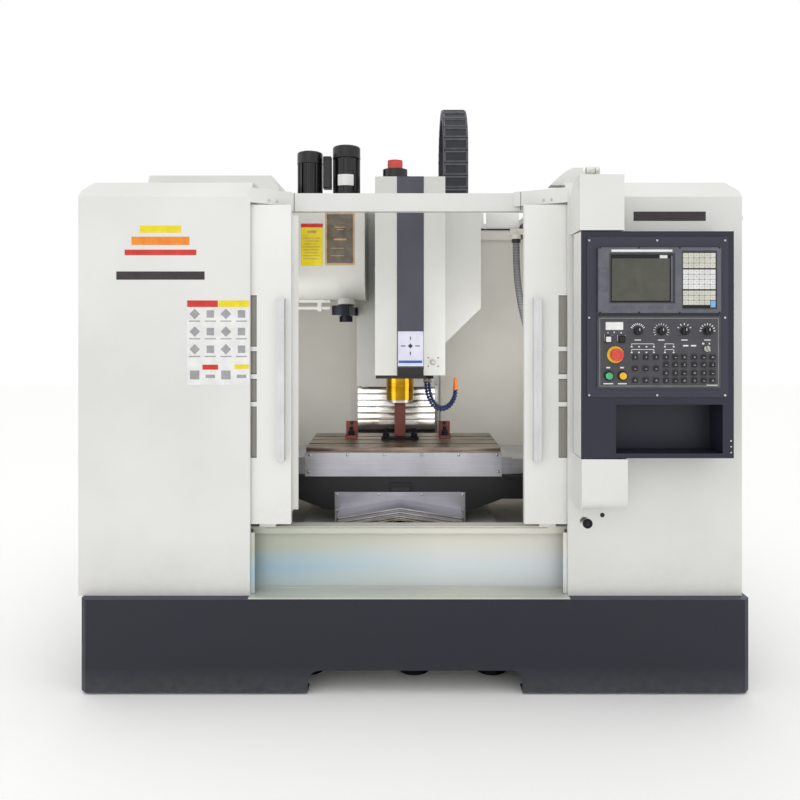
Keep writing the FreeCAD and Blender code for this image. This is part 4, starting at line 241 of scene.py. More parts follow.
finishes = {}
for make, rows, columns in ((coatMetal, coats, ("peel", "peelStrength")), (workedMetal, metals, ("lay",)),
                            (mouldedPlastic, plastics, ("grain",))):
    for name, row in rows.items():
        look = dict(zip(("colour", "shade", "roughness") + columns, row))
        look.update(row[-1] if isinstance(row[-1], dict) else {})
        finishes[name] = make(name, look)


# Apron sheet: pale zinc grey, with a soft blue band of painted reflection across it, stronger on the left.
def apronPaintedReflection():
    material, tree, shader, place = startMaterial("apronPaintedReflection", {
        "Metallic": 0.1, "IOR": 1.5, "Roughness": 0.4})
    split = addNode(tree, "SeparateXYZ", links={"Vector": place})
    wander = addNode(tree, "TexNoise", {"Scale": 1.6, "Detail": 2.0}, {"Vector": place})
    height = addNode(tree, "Math", {1: 0.07}, {0: wander.outputs["Fac"], 2: split.outputs["Z"]})
    height.operation = "MULTIPLY_ADD"
    share = addNode(tree, "MapRange", {"From Min": 0.345, "From Max": 0.645},
                    {"Value": height.outputs["Value"]})
    leftPaintedReflection = addNode(tree, "ValToRGB", links={"Fac": share.outputs["Result"]}, stops=[
        (0.0, paint("#d6d5cd")), (0.18, paint("#bccacd")), (0.36, paint("#a4c0cd")),
        (0.5, paint("#abc1c6")), (0.64, paint("#b8bdae")), (1.0, paint("#c2c4b6"))])
    rightPaintedReflection = addNode(tree, "ValToRGB", links={"Fac": share.outputs["Result"]}, stops=[
        (0.0, paint("#d4d7d6")), (0.4, paint("#d5dde0")), (0.7, paint("#dedcd2")), (1.0, paint("#d8d7cb"))])
    across = addNode(tree, "MapRange", {"From Min": -0.45, "From Max": 0.1},
                     {"Value": split.outputs["X"]})
    blend = addNode(tree, "MixRGB", links={
        "Fac": across.outputs["Result"], "Color1": leftPaintedReflection.outputs["Color"], "Color2": rightPaintedReflection.outputs["Color"]})
    tree.links.new(blend.outputs["Color"], shader.inputs["Base Color"])
    return material


# Laminated safety glass in the doors: clear, slightly grey, with a wiped haze.
def safetyGlass():
    material, tree, shader, place = startMaterial("laminatedSafetyGlass", {
        "Base Color": paint("#a9a79f"), "Metallic": 0.0, "IOR": 1.5, "Alpha": 0.6})
    haze = addNode(tree, "TexNoise", {"Scale": 7.0, "Detail": 4.0}, {"Vector": place})
    rough = addNode(tree, "MapRange", {"To Min": 0.04, "To Max": 0.22},
                    {"Value": haze.outputs["Fac"]})
    tree.links.new(rough.outputs["Result"], shader.inputs["Roughness"])
    return material


# Display glass: switched off, olive grey, with dull reflections low on the left.
def displayGlass():
    material, tree, shader, place = startMaterial("displayGlass", {
        "Metallic": 0.0, "IOR": 1.5, "Roughness": 0.12, "Coat Weight": 0.4})
    cloud = addNode(tree, "TexNoise", {"Scale": 14.0, "Detail": 3.0, "Distortion": 0.8},
                    {"Vector": place})
    tone = addNode(tree, "ValToRGB", links={"Fac": cloud.outputs["Fac"]}, stops=[
        (0.35, paint("#3f3f36")), (0.65, paint("#4a4a3f"))])
    tree.links.new(tone.outputs["Color"], shader.inputs["Base Color"])
    return material


finishes["apronPaintedReflection"] = apronPaintedReflection()
finishes["laminatedSafetyGlass"] = safetyGlass()
finishes["displayGlass"] = displayGlass()
print("finishes made:", len(finishes))

# finishes on the CAD nodes

nodeFinishes = {
    "baseTexturedEnamel": "base_skirt",
    "castingEnamel": "bed_casting column_casting magazine_cover atc_cam_box head_casting",
    "blackOxideSteel": "leveling_feet atc_arm_shaft atc_arm",
    "groundSteel": "guide_rails x_guide_rails spindle_shaft x_ballscrew y_ballscrew z_ballscrew",
    "cabinetPowderCoat": "left_cabinet right_cabinet control_arms lintel electrical_cabinet"
        " electrical_door",
    "zincPlatedSheet": "apron",
    "tubEnamel": "splash_tub",
    "motorBlackEnamel": "gear_motors axis_servos x_servo spindle_motor",
    "polishedStainless": "way_cover_roots z_way_cover_middle",
    "saddleBlackEnamel": "saddle_casting",
    "brushedStainless": "saddle_way_covers table_guards x_way_cover_outer x_way_cover_inner"
        " y_way_cover_outer y_way_cover_inner",
    "oiledGroundIron": "table_casting",
    "redOxidePrimer": "shipping_braces",
    "headPowderCoat": "head_covers",
    "capRed": "drawbar_unit",
    "nitrideGold": "spindle_cartridge",
    "hoseNavy": "coolant_nozzle_links",
    "glassFilledNylon": "cable_chain",
    "conduitPvc": "flexible_conduit",
    "doorPowderCoat": "left_door right_door",
    "laminatedSafetyGlass": "left_door_glass right_door_glass",
    "anodisedAluminium": "left_door_handle right_door_handle",
    "controlTexturedEnamel": "control_box",
    "panelFilm": "control_panel",
    "stopRed": "estop_button",
    "buttonGreen": "start_button",
    "stopYellow": "hold_button",
    "knobAbs": "mode_knob feed_override_knob rapid_override_knob spindle_override_knob",
    "tumbledAluminium": "tool_disc",
}
for finish, nodeNames in nodeFinishes.items():
    for nodeName in nodeNames.split():
        nodes[nodeName].data.materials.clear()
        nodes[nodeName].data.materials.append(finishes[finish])


def dressFaces(nodeName, finish, low, high, facing=None):
    # gives a second finish to the faces of a CAD node whose middles lie in a box, in millimetres
    node = nodes[nodeName]
    names = [m.name for m in node.data.materials]
    if finish not in names:
        node.data.materials.append(finishes[finish])
        names.append(finish)
    index = names.index(finish)
    for face in node.data.polygons:
        middle = face.center / millimetre
        inside = all(a <= c <= b for a, c, b in zip(low, middle, high))
        if inside and (facing is None or face.normal.dot(Vector(facing)) > 0.7):
            face.material_index = index


# the head cover's centre stripe and its dark sole
dressFaces("head_covers", "stripeEnamel", (-70, -500, 1060), (50, -493.5, 1950))
# spindle nose: dark rings above the gold sleeve
dressFaces("spindle_cartridge", "blackOxideSteel", (-200, -500, 1084), (200, 0, 1500))
# the saddle's plate faces stay black; the table's flanks are painted dark
dressFaces("table_casting", "saddleBlackEnamel", (-500, -700, 600), (500, 0, 700))
print("nodes dressed")

# stage, light and camera

studio = {"floorSize": 24.0, "floorTone": "#fdfdfc", "worldTone": "#ffffff", "worldStrength": 1.0,
          "lens": 34.2, "eye": (-0.054, -3.714, 1.339), "shift": -0.1}
bpy.ops.mesh.primitive_plane_add(size=studio["floorSize"], location=(0, 0, 0))
floor = bpy.context.object
floor.name = "floor"
floorMaterial, floorTree, floorShader, floorPlace = startMaterial("paleFloor", {
    "Roughness": 0.8, "Base Color": paint(studio["floorTone"])})
floor.data.materials.append(floorMaterial)

world = bpy.data.worlds.new("paleStudio")
bpy.context.scene.world = world
world.use_nodes = True
world.node_tree.nodes.clear()
sky = addNode(world.node_tree, "Background", {
    "Color": paint(studio["worldTone"]), "Strength": studio["worldStrength"]})
addNode(world.node_tree, "OutputWorld", links={"Surface": sky.outputs["Background"]})

softBoxes = [  # name, place, size, watts, aims at
    ("frontSoftBox", (-1.2, -4.6, 3.4), 3.0, 11, (0, 0, 1.0)),
    ("topSoftBox", (0.8, -0.6, 5.0), 3.5, 13, (0, 0, 0.8)),
    ("sideSoftBox", (-4.5, -1.0, 2.6), 2.0, 6, (0, 0, 1.0)),
    ("leftTubLight", (-0.56, -0.62, 1.15), 0.5, 2.1, (-0.35, 0.1, 1.15)),
    ("rightTubLight", (0.5, -0.62, 1.15), 0.5, 2.3, (0.25, 0.1, 1.25)),
]
for name, spot, size, power, target in softBoxes:
    bpy.ops.object.light_add(type="AREA", location=spot)
    lamp = bpy.context.object
    lamp.name = name
    lamp.data.size = size
    lamp.data.energy = power
    lamp.visible_camera = False
    aim = Vector(target) - Vector(spot)
    lamp.rotation_euler = aim.to_track_quat("-Z", "Y").to_euler()

bpy.ops.object.camera_add(location=studio["eye"], rotation=(math.radians(90), 0, 0))
camera = bpy.context.object
camera.name = "camera"
camera.data.lens = studio["lens"]
camera.data.sensor_width = 36
camera.data.shift_y = studio["shift"]
bpy.context.scene.camera = camera
bpy.context.scene.view_settings.view_transform = "Standard"
bpy.ops.object.select_all(action="DESELECT")
print("stage, lamps and camera set")
# modelling helpers

frontWay, backWay, upWay = (0, -1, 0), (0, 1, 0), (0, 0, 1)


def pickOnly(*pieces):
    # these pieces selected and nothing else, the first one active
    bpy.ops.object.select_all(action="DESELECT")
    for piece in pieces:
        piece.select_set(True)
    bpy.context.view_layer.objects.active = pieces[0]


def openMesh(piece):
    # edit mode on this piece alone, with nothing selected in it
    pickOnly(piece)
    bpy.ops.object.mode_set(mode="EDIT")
    bpy.ops.mesh.select_all(action="DESELECT")
    return bmesh.from_edit_mesh(piece.data)


def closeMesh(piece):
    bmesh.update_edit_mesh(piece.data)
    bpy.ops.object.mode_set(mode="OBJECT")


def pickFaces(piece, mesh, facing, least=0.9):
    # selects the faces that look one way
    bpy.ops.mesh.select_mode(type="FACE")
    for face in mesh.faces:
        face.select_set(face.normal.dot(Vector(facing)) > least)
    bmesh.update_edit_mesh(piece.data)


def softenEdges(piece, width, segments=2):
    # one bevel all round, in millimetres
    openMesh(piece)
    bpy.ops.mesh.select_all(action="SELECT")
    bpy.ops.mesh.bevel(offset=width * millimetre, segments=segments, affect="EDGES")
    closeMesh(piece)


def sinkFace(piece, facing, border, depth):
    # insets the faces that look one way and pushes the middle in, or out where depth is negative
    mesh = openMesh(piece)
    pickFaces(piece, mesh, facing)
    bpy.ops.mesh.inset(thickness=border * millimetre)
    back = [-part * depth * millimetre for part in facing]
    bpy.ops.mesh.extrude_region_move(TRANSFORM_OT_translate={"value": back})
    closeMesh(piece)


def startBlock(name, low, high, turn=(0, 0, 0)):
    # a box between two corners in millimetres, ready to be shaped
    middle = [(a + b) / 2 * millimetre for a, b in zip(low, high)]
    size = [(b - a) * millimetre for a, b in zip(low, high)]
    bpy.ops.mesh.primitive_cube_add(size=1, location=middle, scale=size, rotation=turn)
    piece = bpy.context.object
    piece.name = name
    bpy.ops.object.transform_apply()
    return piece


def startDisc(name, middle, radius, depth, axis="Y", sides=32, tip=None):
    # a turned blank in millimetres along one axis, a cone where tip is given
    turns = {"Y": (math.radians(90), 0, 0), "Z": (0, 0, 0), "X": (0, math.radians(90), 0)}
    bpy.ops.mesh.primitive_cone_add(
        vertices=sides, radius1=radius * millimetre,
        radius2=(radius if tip is None else tip) * millimetre, depth=depth * millimetre,
        location=[c * millimetre for c in middle], rotation=turns[axis])
    piece = bpy.context.object
    piece.name = name
    bpy.ops.object.transform_apply()
    return piece


def addBlock(name, low, high, soft, finish=None, body=None, sink=None, facing=frontWay, segments=2, steps=()):
    # a softened box, one face sunk or raised where sink gives border and depth, copied at
    # steps; with no body it stays a blank to be joined
    piece = startBlock(name, low, high)
    return shapePiece(piece, name, soft, finish, body, sink, facing, segments, steps)


def addDisc(name, middle, radius, depth, soft, finish=None, body=None, axis="Y", sides=32, tip=None,
            sink=None, facing=frontWay, segments=2, steps=()):
    # the same for a turned piece
    piece = startDisc(name, middle, radius, depth, axis, sides, tip)
    return shapePiece(piece, name, soft, finish, body, sink, facing, segments, steps)


def shapePiece(piece, name, soft, finish, body, sink, facing, segments, steps):
    softenEdges(piece, soft, segments)
    if sink:
        sinkFace(piece, facing, *sink)
    if steps:
        piece = repeatPiece(piece, steps)
    return finishPiece(piece, name, finish, body) if body else piece


def applyChange(piece, kind, settings):
    # adds one modifier with its settings and applies it
    pickOnly(piece)
    change = piece.modifiers.new("change", kind)
    for key, value in settings.items():
        setattr(change, key, value)
    bpy.ops.object.modifier_apply(modifier="change")


def shiftPoints(piece, chosen, move):
    # moves the points of a mesh for which chosen(place) holds, in metres
    mesh = openMesh(piece)
    bpy.ops.mesh.select_mode(type="VERT")
    for vertex in mesh.verts:
        vertex.select_set(chosen(vertex.co))
    bmesh.update_edit_mesh(piece.data)
    bpy.ops.transform.translate(value=move)
    closeMesh(piece)


def frontOf(nodeName, x, z, start=-3000):
    # how far forward a CAD node reaches at this place, in millimetres
    eye = Vector((x, start, z)) * millimetre
    hit, spot, normal, index = nodes[nodeName].ray_cast(eye, Vector((0, 1, 0)))
    return spot.y / millimetre if hit else -960


def repeatPiece(piece, steps):
    # copies of a finished piece at these moves, in millimetres, joined into it
    copies = [piece]
    for step in steps:
        pickOnly(piece)
        bpy.ops.object.duplicate()
        bpy.ops.transform.translate(value=[c * millimetre for c in step])
        bpy.ops.object.transform_apply()
        copies.append(bpy.context.object)
    return joinPieces(copies)


def joinPieces(copies):
    pickOnly(*copies)
    if len(copies) > 1:
        bpy.ops.object.join()
    return copies[0]


def finishPiece(piece, name, finish, body):
    # name, finish, smooth shading up to 35 degrees, origin in place, and the body it rides on
    piece.name = name
    piece.data.name = name
    pickOnly(piece)
    bpy.ops.object.transform_apply()
    bpy.ops.object.shade_smooth_by_angle(angle=math.radians(35))
    if finish:
        piece.data.materials.clear()
        piece.data.materials.append(finishes[finish])
    bpy.ops.object.select_all(action="DESELECT")
    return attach(piece, body)


def addScrews(name, places, radius, tall, body, way=frontWay, finish="nickelPlate"):
    # button-head screws with a hex socket, all facing one way
    axis = "XYZ"[[abs(c) > 0.5 for c in way].index(True)]
    middle = [c + w * tall / 2 for c, w in zip(places[0], way)]
    return addDisc(name, middle, radius, tall, tall * 0.3, finish, body, axis, 16,
                   sink=(radius * 0.35, tall * 0.4), facing=way,
                   steps=[[b - a for a, b in zip(places[0], place)] for place in places[1:]])


def addPrint(name, bars, face, finish, body):
    # flat printed fields on a plane that faces the front: x, z, width, height, and a lean in
    # degrees where there is one
    fields = []
    for x, z, wide, tall, *lean in bars:
        bpy.ops.mesh.primitive_cube_add(
            size=1, location=(x * millimetre, (face - 0.25) * millimetre, z * millimetre),
            scale=(wide * millimetre, 0.5 * millimetre, tall * millimetre),
            rotation=(0, math.radians(sum(lean)), 0))
        bpy.ops.object.transform_apply()
        fields.append(bpy.context.object)
    piece = joinPieces(fields)
    softenEdges(piece, 0.15, 1)
    return finishPiece(piece, name, finish, body)


# control panel

panel = {"plateFace": -1106, "operatorFace": -1112, "unitFace": -1116, "left": 622, "right": 1044,
         "screwRadius": 4.2}
addScrews("panelScrews", [(x, panel["plateFace"], z) for x in (595, 828, 1061)
                          for z in (1612, 1347, 1081) if (x, z) != (828, 1347)],
          panel["screwRadius"], 2.4, "control")

unit = {"low": 1362, "high": 1588}
bezel = startBlock("displayUnitBezel", (panel["left"] + 1, panel["unitFace"] - 3, unit["low"] + 1),
                   (panel["right"] - 1, panel["unitFace"], unit["high"] - 1))
softenEdges(bezel, 1.2)
openings = [startBlock("bezelCut", (660, -1130, 1396), (886, -1100, 1568)),
            startBlock("bezelCut", (909, -1130, 1376), (1029, -1100, 1576))]
for cutter in openings:
    applyChange(bezel, "BOOLEAN", {"operation": "DIFFERENCE", "solver": "EXACT", "object": cutter})
    bpy.data.objects.remove(cutter)
finishPiece(bezel, "displayUnitBezel", "panelFrameAbs", "control")

addBlock("unitNotches", (626, panel["unitFace"] - 4, unit["high"] - 5),
         (632, panel["unitFace"] - 2.5, unit["high"]), 0.5, "gasketRubberAndPaintedShadow", "control",
         steps=[(x - 629, 0, z) for x in (629, 762, 901, 1037)
                for z in (0, unit["low"] - unit["high"] + 5)][1:])

addBlock("displayScreen", (668, -1112.5, 1402), (872, -1111.6, 1553), 0.3, "displayGlass", "control",
         sink=(3.0, -0.25), segments=1)
addBlock("screenFrame", (664, -1115.4, 1397.8), (883, -1112, 1566), 0.8, "gasketRubberAndPaintedShadow", "control",
         sink=(3.6, 2.7))
addBlock("screenLedge", (872.5, -1115.8, 1399), (880, -1112.6, 1560), 1.2, "panelFrameAbs",
         "control")
addBlock("unitTopStrip", (668, -1120, 1572), (876, -1118.6, 1579.5), 0.6, "markWhite", "control")
addPrint("unitSmallFields", [(848, 1556, 26, 11)], -1112.9, "markWhite", "control")
addBlock("cardDoor", (623.5, -1120, 1438), (655, -1118.8, 1516), 0.5, "panelFrameAbs", "control",
         sink=(1.4, 0.5))

addBlock("softKeys", (671, -1120.4, 1376.5), (689, -1116, 1386), 1.4, "panelFrameAbs", "control",
         sink=(1.5, 0.5), steps=[(31 * i, 0, 0) for i in range(1, 7)])

# keypad: three groups of small film keys on a black bed, the last key light blue
keypad = {"left": 913, "right": 1025, "columns": 6, "gap": 1.0}
addBlock("keypadBed", (911, -1114, 1378), (1027, -1112.6, 1574), 0.5, "gasketRubberAndPaintedShadow", "control",
         sink=(2.0, 0.3))
for name, low, high, rows, finish in (
        ("keypadTop", 1516, 1569, 3, "keyFilmIvory"), ("keypadMiddle", 1444, 1512, 4, "keyFilmWhite"),
        ("keypadBottom", 1390, 1440, 3, "keyFilmIvory")):
    wide = (keypad["right"] - keypad["left"]) / keypad["columns"]
    tall = (high - low) / rows
    spots = [(column, row) for column in range(keypad["columns"]) for row in range(rows)]
    places = [(column * wide, 0, row * tall) for column, row in spots]
    if name == "keypadBottom":
        places.remove(((keypad["columns"] - 1) * wide, 0, 0))
    addBlock(name, (keypad["left"] + keypad["gap"] / 2, -1117, low + keypad["gap"] / 2),
             (keypad["left"] + wide - keypad["gap"] / 2, -1113.5, low + tall - keypad["gap"] / 2),
             0.8, finish, "control", sink=(2.0, 0.35), steps=places[1:])
    marks = [(keypad["left"] + (column + 0.5) * wide, low + (row + 0.5) * tall, 5 - column % 2, 2.2)
             for column, row in spots]
    addPrint(name + "Marks", marks[:-1], -1116.9, "markGrey", "control")
addBlock("keypadBlueKey", (1007.5, -1117.2, 1382), (1024.5, -1113.5, 1405), 0.8, "keyFilmBlue",
         "control", sink=(2.0, 0.35))

# operator panel: rule line round it, blank name plate, knob scales, brackets, key marks
rule = {"left": 630, "right": 1036, "low": 1113, "high": 1345, "thick": 1.6}
addPrint("operatorRule", [
    ((rule["left"] + rule["right"]) / 2, z, rule["right"] - rule["left"], rule["thick"])
    for z in (rule["high"], rule["low"])] + [
    (x, (rule["low"] + rule["high"]) / 2, rule["thick"], rule["high"] - rule["low"])
    for x in (rule["left"], rule["right"])], panel["operatorFace"], "markGrey", "control")
addBlock("blankNamePlate", (650, -1113.4, 1305), (710, -1112, 1332), 0.5, "markWhite", "control",
         sink=(2.0, 0.2))

scales = {"radius": 24, "height": 1301,
          "marks": ((760, 9, 15), (840.5, 13, 20), (919.5, 5, 30), (998.5, 9, 22))}
ticks = []
for x, count, pitch in scales["marks"]:
    for index in range(count):
        lean = (index - (count - 1) / 2) * pitch
        ticks.append((x + scales["radius"] * math.sin(math.radians(lean)),
                      scales["height"] + scales["radius"] * math.cos(math.radians(lean)),
                      2.0 if count > 9 else 3.0, 7.0, lean))
    ticks.append((x, 1270.5, 22, 3.4))
addPrint("knobScales", ticks, panel["operatorFace"], "markWhite", "control")
for body, x in (("mode", 760), ("feed_override", 840.5), ("rapid_override", 919.5),
                ("spindle_override", 998.5)):
    addDisc(body + "Skirt", (x, -1113.6, 1301), 14.5, 2.2, 0.6, "knobAbs", "control", sides=40)
    addPrint(body + "Pointer", [(x, 1306.5, 2.0, 9)], -1134, "markWhite", body)

brackets = []
for x, z, wide in ((777, 1257.5, 76), (777, 1238, 76), (868, 1257.5, 30), (868, 1238, 30)):
    brackets += [(x, z, wide, 1.8), (x - wide / 2, z - 2.5, 1.8, 6), (x + wide / 2, z - 2.5, 1.8, 6)]
    count = 4 if wide > 50 else 2
    brackets += [(x - wide / 2 + wide * i / (count - 1), z - 10, 6, 4.4) for i in range(count)]
brackets += [(924, 1251, 18, 5), (951, 1251, 18, 5), (984, 1258, 7, 6), (1005, 1258, 4, 6),
             (659, 1176, 13, 5), (706, 1176, 13, 5), (658, 1295, 3, 4), (679, 1297, 3, 6),
             (703, 1295, 5, 4), (659, 1121, 34, 3.6), (707, 1121, 30, 3.6), (1014, 1116, 38, 2.4),
             (646, 1277, 1.4, 22), (671, 1277, 1.4, 22), (691, 1277, 1.4, 22), (717, 1277, 1.4, 22)]
addPrint("operatorMarks", brackets, panel["operatorFace"], "markWhite", "control")

keyPlaces = [(x, z) for x in (856, 888, 918, 953, 985, 1015) for z in (1212, 1186, 1158, 1132)]
keyPlaces += [(x, z) for x in (750, 787, 822) for z in (1212, 1173, 1133)]
x0, z0 = keyPlaces[0]
addBlock("operatorKeyCaps", (x0 - 8.2, -1118.4, z0 - 8.2), (x0 + 8.2, -1116, z0 + 8.2), 0.9, "knobAbs",
         "control", sink=(1.6, 0.5), steps=[(x - x0, 0, z - z0) for x, z in keyPlaces[1:]])
keyMarks = []
for index, (x, z) in enumerate(keyPlaces):
    keyMarks.append((x, z - 1.5, 5 + index % 3 * 1.5, 2.6))
    if index % 3 != 1:
        keyMarks.append((x + index % 2, z + 2.5, 3.6, 2.4))
addPrint("operatorKeyMarks", keyMarks, -1117.9, "markGrey", "control")

for name, x, finish in (("rockerOff", 658, "markWhite"), ("rockerOn", 704, "knobAbs")):
    addBlock(name + "Frame", (x - 12, -1119.4, 1261), (x + 12, -1112, 1285), 1.0, "knobAbs",
             "control", sink=(2.0, 1.0))
    addBlock(name + "Paddle", (x - 8.6, -1122.4, 1264), (x + 8.6, -1117.5, 1282), 1.4, finish,
             "control", segments=3)

addDisc("stopYellowRing", (683, -1115.6, 1220.5), 28.5, 1.4, 0.5, "stopYellow", "control", sides=64)
addDisc("stopHeadDome", (683, -1141.6, 1220.5), 21, 3.2, 1.3, "stopRed", "estop", sides=64, tip=21,
        sink=(7, -0.6), segments=3)
for name, x in (("start", 660), ("hold", 707)):
    addDisc(name + "Collar", (x, -1115.4, 1148), 16.5, 6.6, 1.4, "knobAbs", "control", sides=48,
            sink=(2.6, 2.4), segments=3)

lockBody = addDisc("keySwitch", (996, -1115, 1241), 11, 6, 1.2, sides=40, sink=(3.2, -3.0))
lever = startBlock("keyLever", (993.5, -1130, 1231), (998.5, -1119, 1252), (0, math.radians(-28), 0))
softenEdges(lever, 1.2)
finishPiece(joinPieces([lockBody, lever]), "keySwitch", "nickelPlate", "control")
dressFaces("control_panel", "slateEnamelAndLedgeHighlight", (580, -1107, 1070), (1080, -1105, 1630))
dressFaces("control_panel", "stopYellow", (650, -1116, 1190), (715, -1112.5, 1250))
print("control panel modelled")

# head, spindle and coolant hose

head = {"face": -494, "left": -66, "right": 46, "low": 1104, "plateLow": 1143, "plateHigh": 1291,
        "top": 1946}
addBlock("headStripe", (head["left"], head["face"] - 1.4, head["plateHigh"] + 2),
         (head["right"], head["face"], head["top"]), 0.6, "stripeEnamel", "head")
addBlock("headSole", (head["left"], head["face"] - 1.2, head["low"]),
         (head["right"], -490, head["plateLow"] - 6), 1.0, "saddleBlackEnamel", "head")
addBlock("headBlankPlate", (head["left"] + 3, head["face"] - 1.6, head["plateLow"]),
         (head["right"] - 1, head["face"], head["plateHigh"]), 0.8, "plateLavender", "head",
         sink=(2.5, 0.3))
addPrint("headPlateBand", [(-10, 1162, 100, 11)], head["face"] - 1.4, "filmBlue", "head")
addPrint("headPlateFields", [(-10, 1229, 15, 15, 45), (-40, 1229, 20, 4), (20, 1229, 20, 4),
                             (-10, 1262, 4, 14), (-10, 1197, 4, 14)],
         head["face"] - 1.4, "filmDark", "head")
addDisc("headBoss", (87, -492, 1161), 13, 5, 1.2, "headPowderCoat", "head", sides=40, sink=(4, -3))
addScrews("headBossScrews", [(87 + x, -490, 1161 + z) for x in (-21, 21) for z in (-18, 18)],
          2.6, 1.6, "head", finish="blackOxideSteel")
addScrews("headSideScrews", [(-160, y, z) for y in (-460, -20) for z in (1240, 1560, 1880)],
          4, 2.5, "head", (-1, 0, 0))
dressFaces("head_covers", "polishedStainless", (-300, 100, 700), (200, 260, 1015))
for holder in ("atc_cam_box", "tool_disc", "magazine_cover", "atc_arm_shaft", "atc_arm"):
    dressFaces(holder, "blackOxideSteel", (-350, -420, 1380), (-250, -90, 1430))
dressFaces("head_covers", "saddleBlackEnamel", (-158, -488, 1080), (60, -200, 1103))
dressFaces("drawbar_unit", "motorBlackEnamel", (-200, -400, 1800), (100, 0, 2009.9))
dressFaces("drawbar_unit", "motorBlackEnamel", (-140, -370, 2009), (-10, -250, 2010.5), upWay)

hose = {"x": 67, "y": -354, "z": 1078, "wide": 62, "deep": 116, "rise": 82, "radius": 8.2,
        "pitch": 12.5, "apart": 8}


def hosePlace(share):
    # centre of the curl: straight down from the manifold, round, and up to the nozzle
    turn = math.pi * share
    across = (1 - math.cos(turn)) * hose["wide"]
    drop = math.sin(turn) * hose["deep"]
    if share > 0.5:
        drop = hose["deep"] - (1 - math.sin(turn)) * hose["rise"]
    return Vector((hose["x"] + across, 0, hose["z"] - 14 - drop))


beads = []
for side in (-1, 1):
    walked, last = hose["pitch"], hosePlace(0)
    for step in range(401):
        spot = hosePlace(step / 400)
        walked += (spot - last).length
        if walked >= hose["pitch"]:
            walked = 0
            way = (hosePlace(step / 400 + 0.003) - spot).normalized()
            apart = side * hose["apart"] * (1 - 0.75 * step / 400)
            place = spot + Vector((-way.z, 0, way.x)) * apart + Vector((0, hose["y"] + 3 * side, 0))
            bpy.ops.mesh.primitive_uv_sphere_add(
                segments=12, ring_count=8, radius=hose["radius"] * millimetre, location=place * millimetre,
                rotation=(0, math.atan2(way.x, way.z), 0), scale=(1, 1, 0.86))
            bead = bpy.context.object
            bpy.ops.object.transform_apply()
            mesh = openMesh(bead)
            pickFaces(bead, mesh, way, 0.9)
            bpy.ops.mesh.extrude_region_move(TRANSFORM_OT_translate={"value": tuple(way * 0.006)})
            closeMesh(bead)
            beads.append(bead)
        last = spot
hosePiece = finishPiece(joinPieces(beads), "coolantHoseLinks", "hoseNavy", "coolant_nozzle")
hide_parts("coolant_nozzle_links")
addDisc("nozzleTip", (191, -354, 1057), 11, 54, 1.0, "nozzleOrange", "coolant_nozzle", axis="Z",
        sides=24, tip=6.5, sink=(2, 6), facing=upWay)
for name, x in (("hoseRootLeft", 58), ("hoseRootRight", 77)):
    addDisc(name, (x, -354, 1072), 10, 18, 1.5, "filmBronze", "coolant_nozzle", axis="Z", sides=6)
print("head modelled")

# table, saddle and way covers

addScrews("guardScrews", [(x, -607, 788) for x in (-423, -269, -118, 34, 186, 342)]
          + [(-428, -607, 718), (347, -607, 718)], 6, 3, "table")
addScrews("saddlePlateScrews", [(x, -590, 622) for x in (-312, -142, 36, 204)]
          + [(-312, -590, 556), (204, -590, 556)], 5.5, 3, "saddle")
addBlock("saddleBracket", (-96, -593, 634), (-8, -586, 668), 2, "saddleBlackEnamel", "saddle",
         sink=(4, 2.5))

lamella = {"left": -267, "right": 121, "low": 838, "tall": 32, "count": 5, "face": 118.5, "step": 7}
sheet = startBlock("zCoverLamellas", (lamella["left"], lamella["face"] - 2, lamella["low"]),
                   (lamella["right"], lamella["face"], lamella["low"] + lamella["tall"]))
shiftPoints(sheet, lambda spot: spot.y < (lamella["face"] - 1) * millimetre
            and spot.z < (lamella["low"] + 1) * millimetre, (0, -lamella["step"] * millimetre, 0))
softenEdges(sheet, 0.8)
applyChange(sheet, "ARRAY", {
    "count": lamella["count"], "use_relative_offset": False, "use_constant_offset": True,
    "constant_offset_displace": (0, 0, (lamella["tall"] + 1) * millimetre)})
finishPiece(sheet, "zCoverLamellas", "polishedStainless", "head")
addBlock("zCoverFootSheet", (lamella["left"], lamella["face"] - 2, 770),
         (lamella["right"], lamella["face"], lamella["low"] - 1), 0.8, "polishedStainless", "head")

# bright lips on the front edges of the roof-shaped Y covers
yLip = {"drop": 40, "tall": 5, "thick": 1.5}
for name, front, peak, left, right, body in (
        ("yLipInner", -806, 590, -292, 184, "y_cover_inner"),
        ("yLipOuter", -769, 596, -298, 190, "y_cover_outer"),
        ("yLipSaddle", -732, 602, -304, 196, "saddle")):
    side = peak - yLip["drop"]
    lip = startBlock(name, (left, front - yLip["thick"], side - yLip["tall"]), (right, front, side))
    mesh = openMesh(lip)
    bpy.ops.mesh.select_all(action="SELECT")
    bpy.ops.mesh.subdivide(number_cuts=1)
    closeMesh(lip)
    shiftPoints(lip, lambda spot: abs(spot.x - (left + right) / 2 * millimetre) < 0.002,
                (0, 0, yLip["drop"] * millimetre))
    softenEdges(lip, 0.4, 1)
    finishPiece(lip, name, "polishedStainless", body)

addBlock("tableEdgeBand", (-439, -591.2, 800), (359, -589, 812), 0.8, "oiledGroundIron", "table")
dressFaces("shipping_braces", "blackOxideSteel", (-145, -420, 814), (40, -280, 824.6))
for x, y in ((-116, -360.5), (8, -360.5), (-272, -310), (146, -310)):
    dressFaces("shipping_braces", "blackOxideSteel", (x - 15, y - 15, 824.2), (x + 15, y + 15, 870))
    parts = [addDisc("stud", (x, y, z), radius, deep, soft, axis="Z", sides=sides, tip=tip)
             for z, radius, deep, soft, sides, tip in (
                 (833, 15, 15, 1.2, 6, None), (825.5, 18, 3, 0.8, 28, None), (861, 9, 3, 0.8, 20, 6))]
    finishPiece(joinPieces(parts), f"studNut{x + 300:.0f}", "blackOxideSteel", "table")
for name, x in (("leftBraceHole", -272), ("rightBraceHole", 146)):
    addDisc(name, (x, frontOf("shipping_braces", x, 873) - 0.8, 873), 8, 1.6, 0.6, "gasketRubberAndPaintedShadow",
            "table", sides=28, sink=(2, 1))
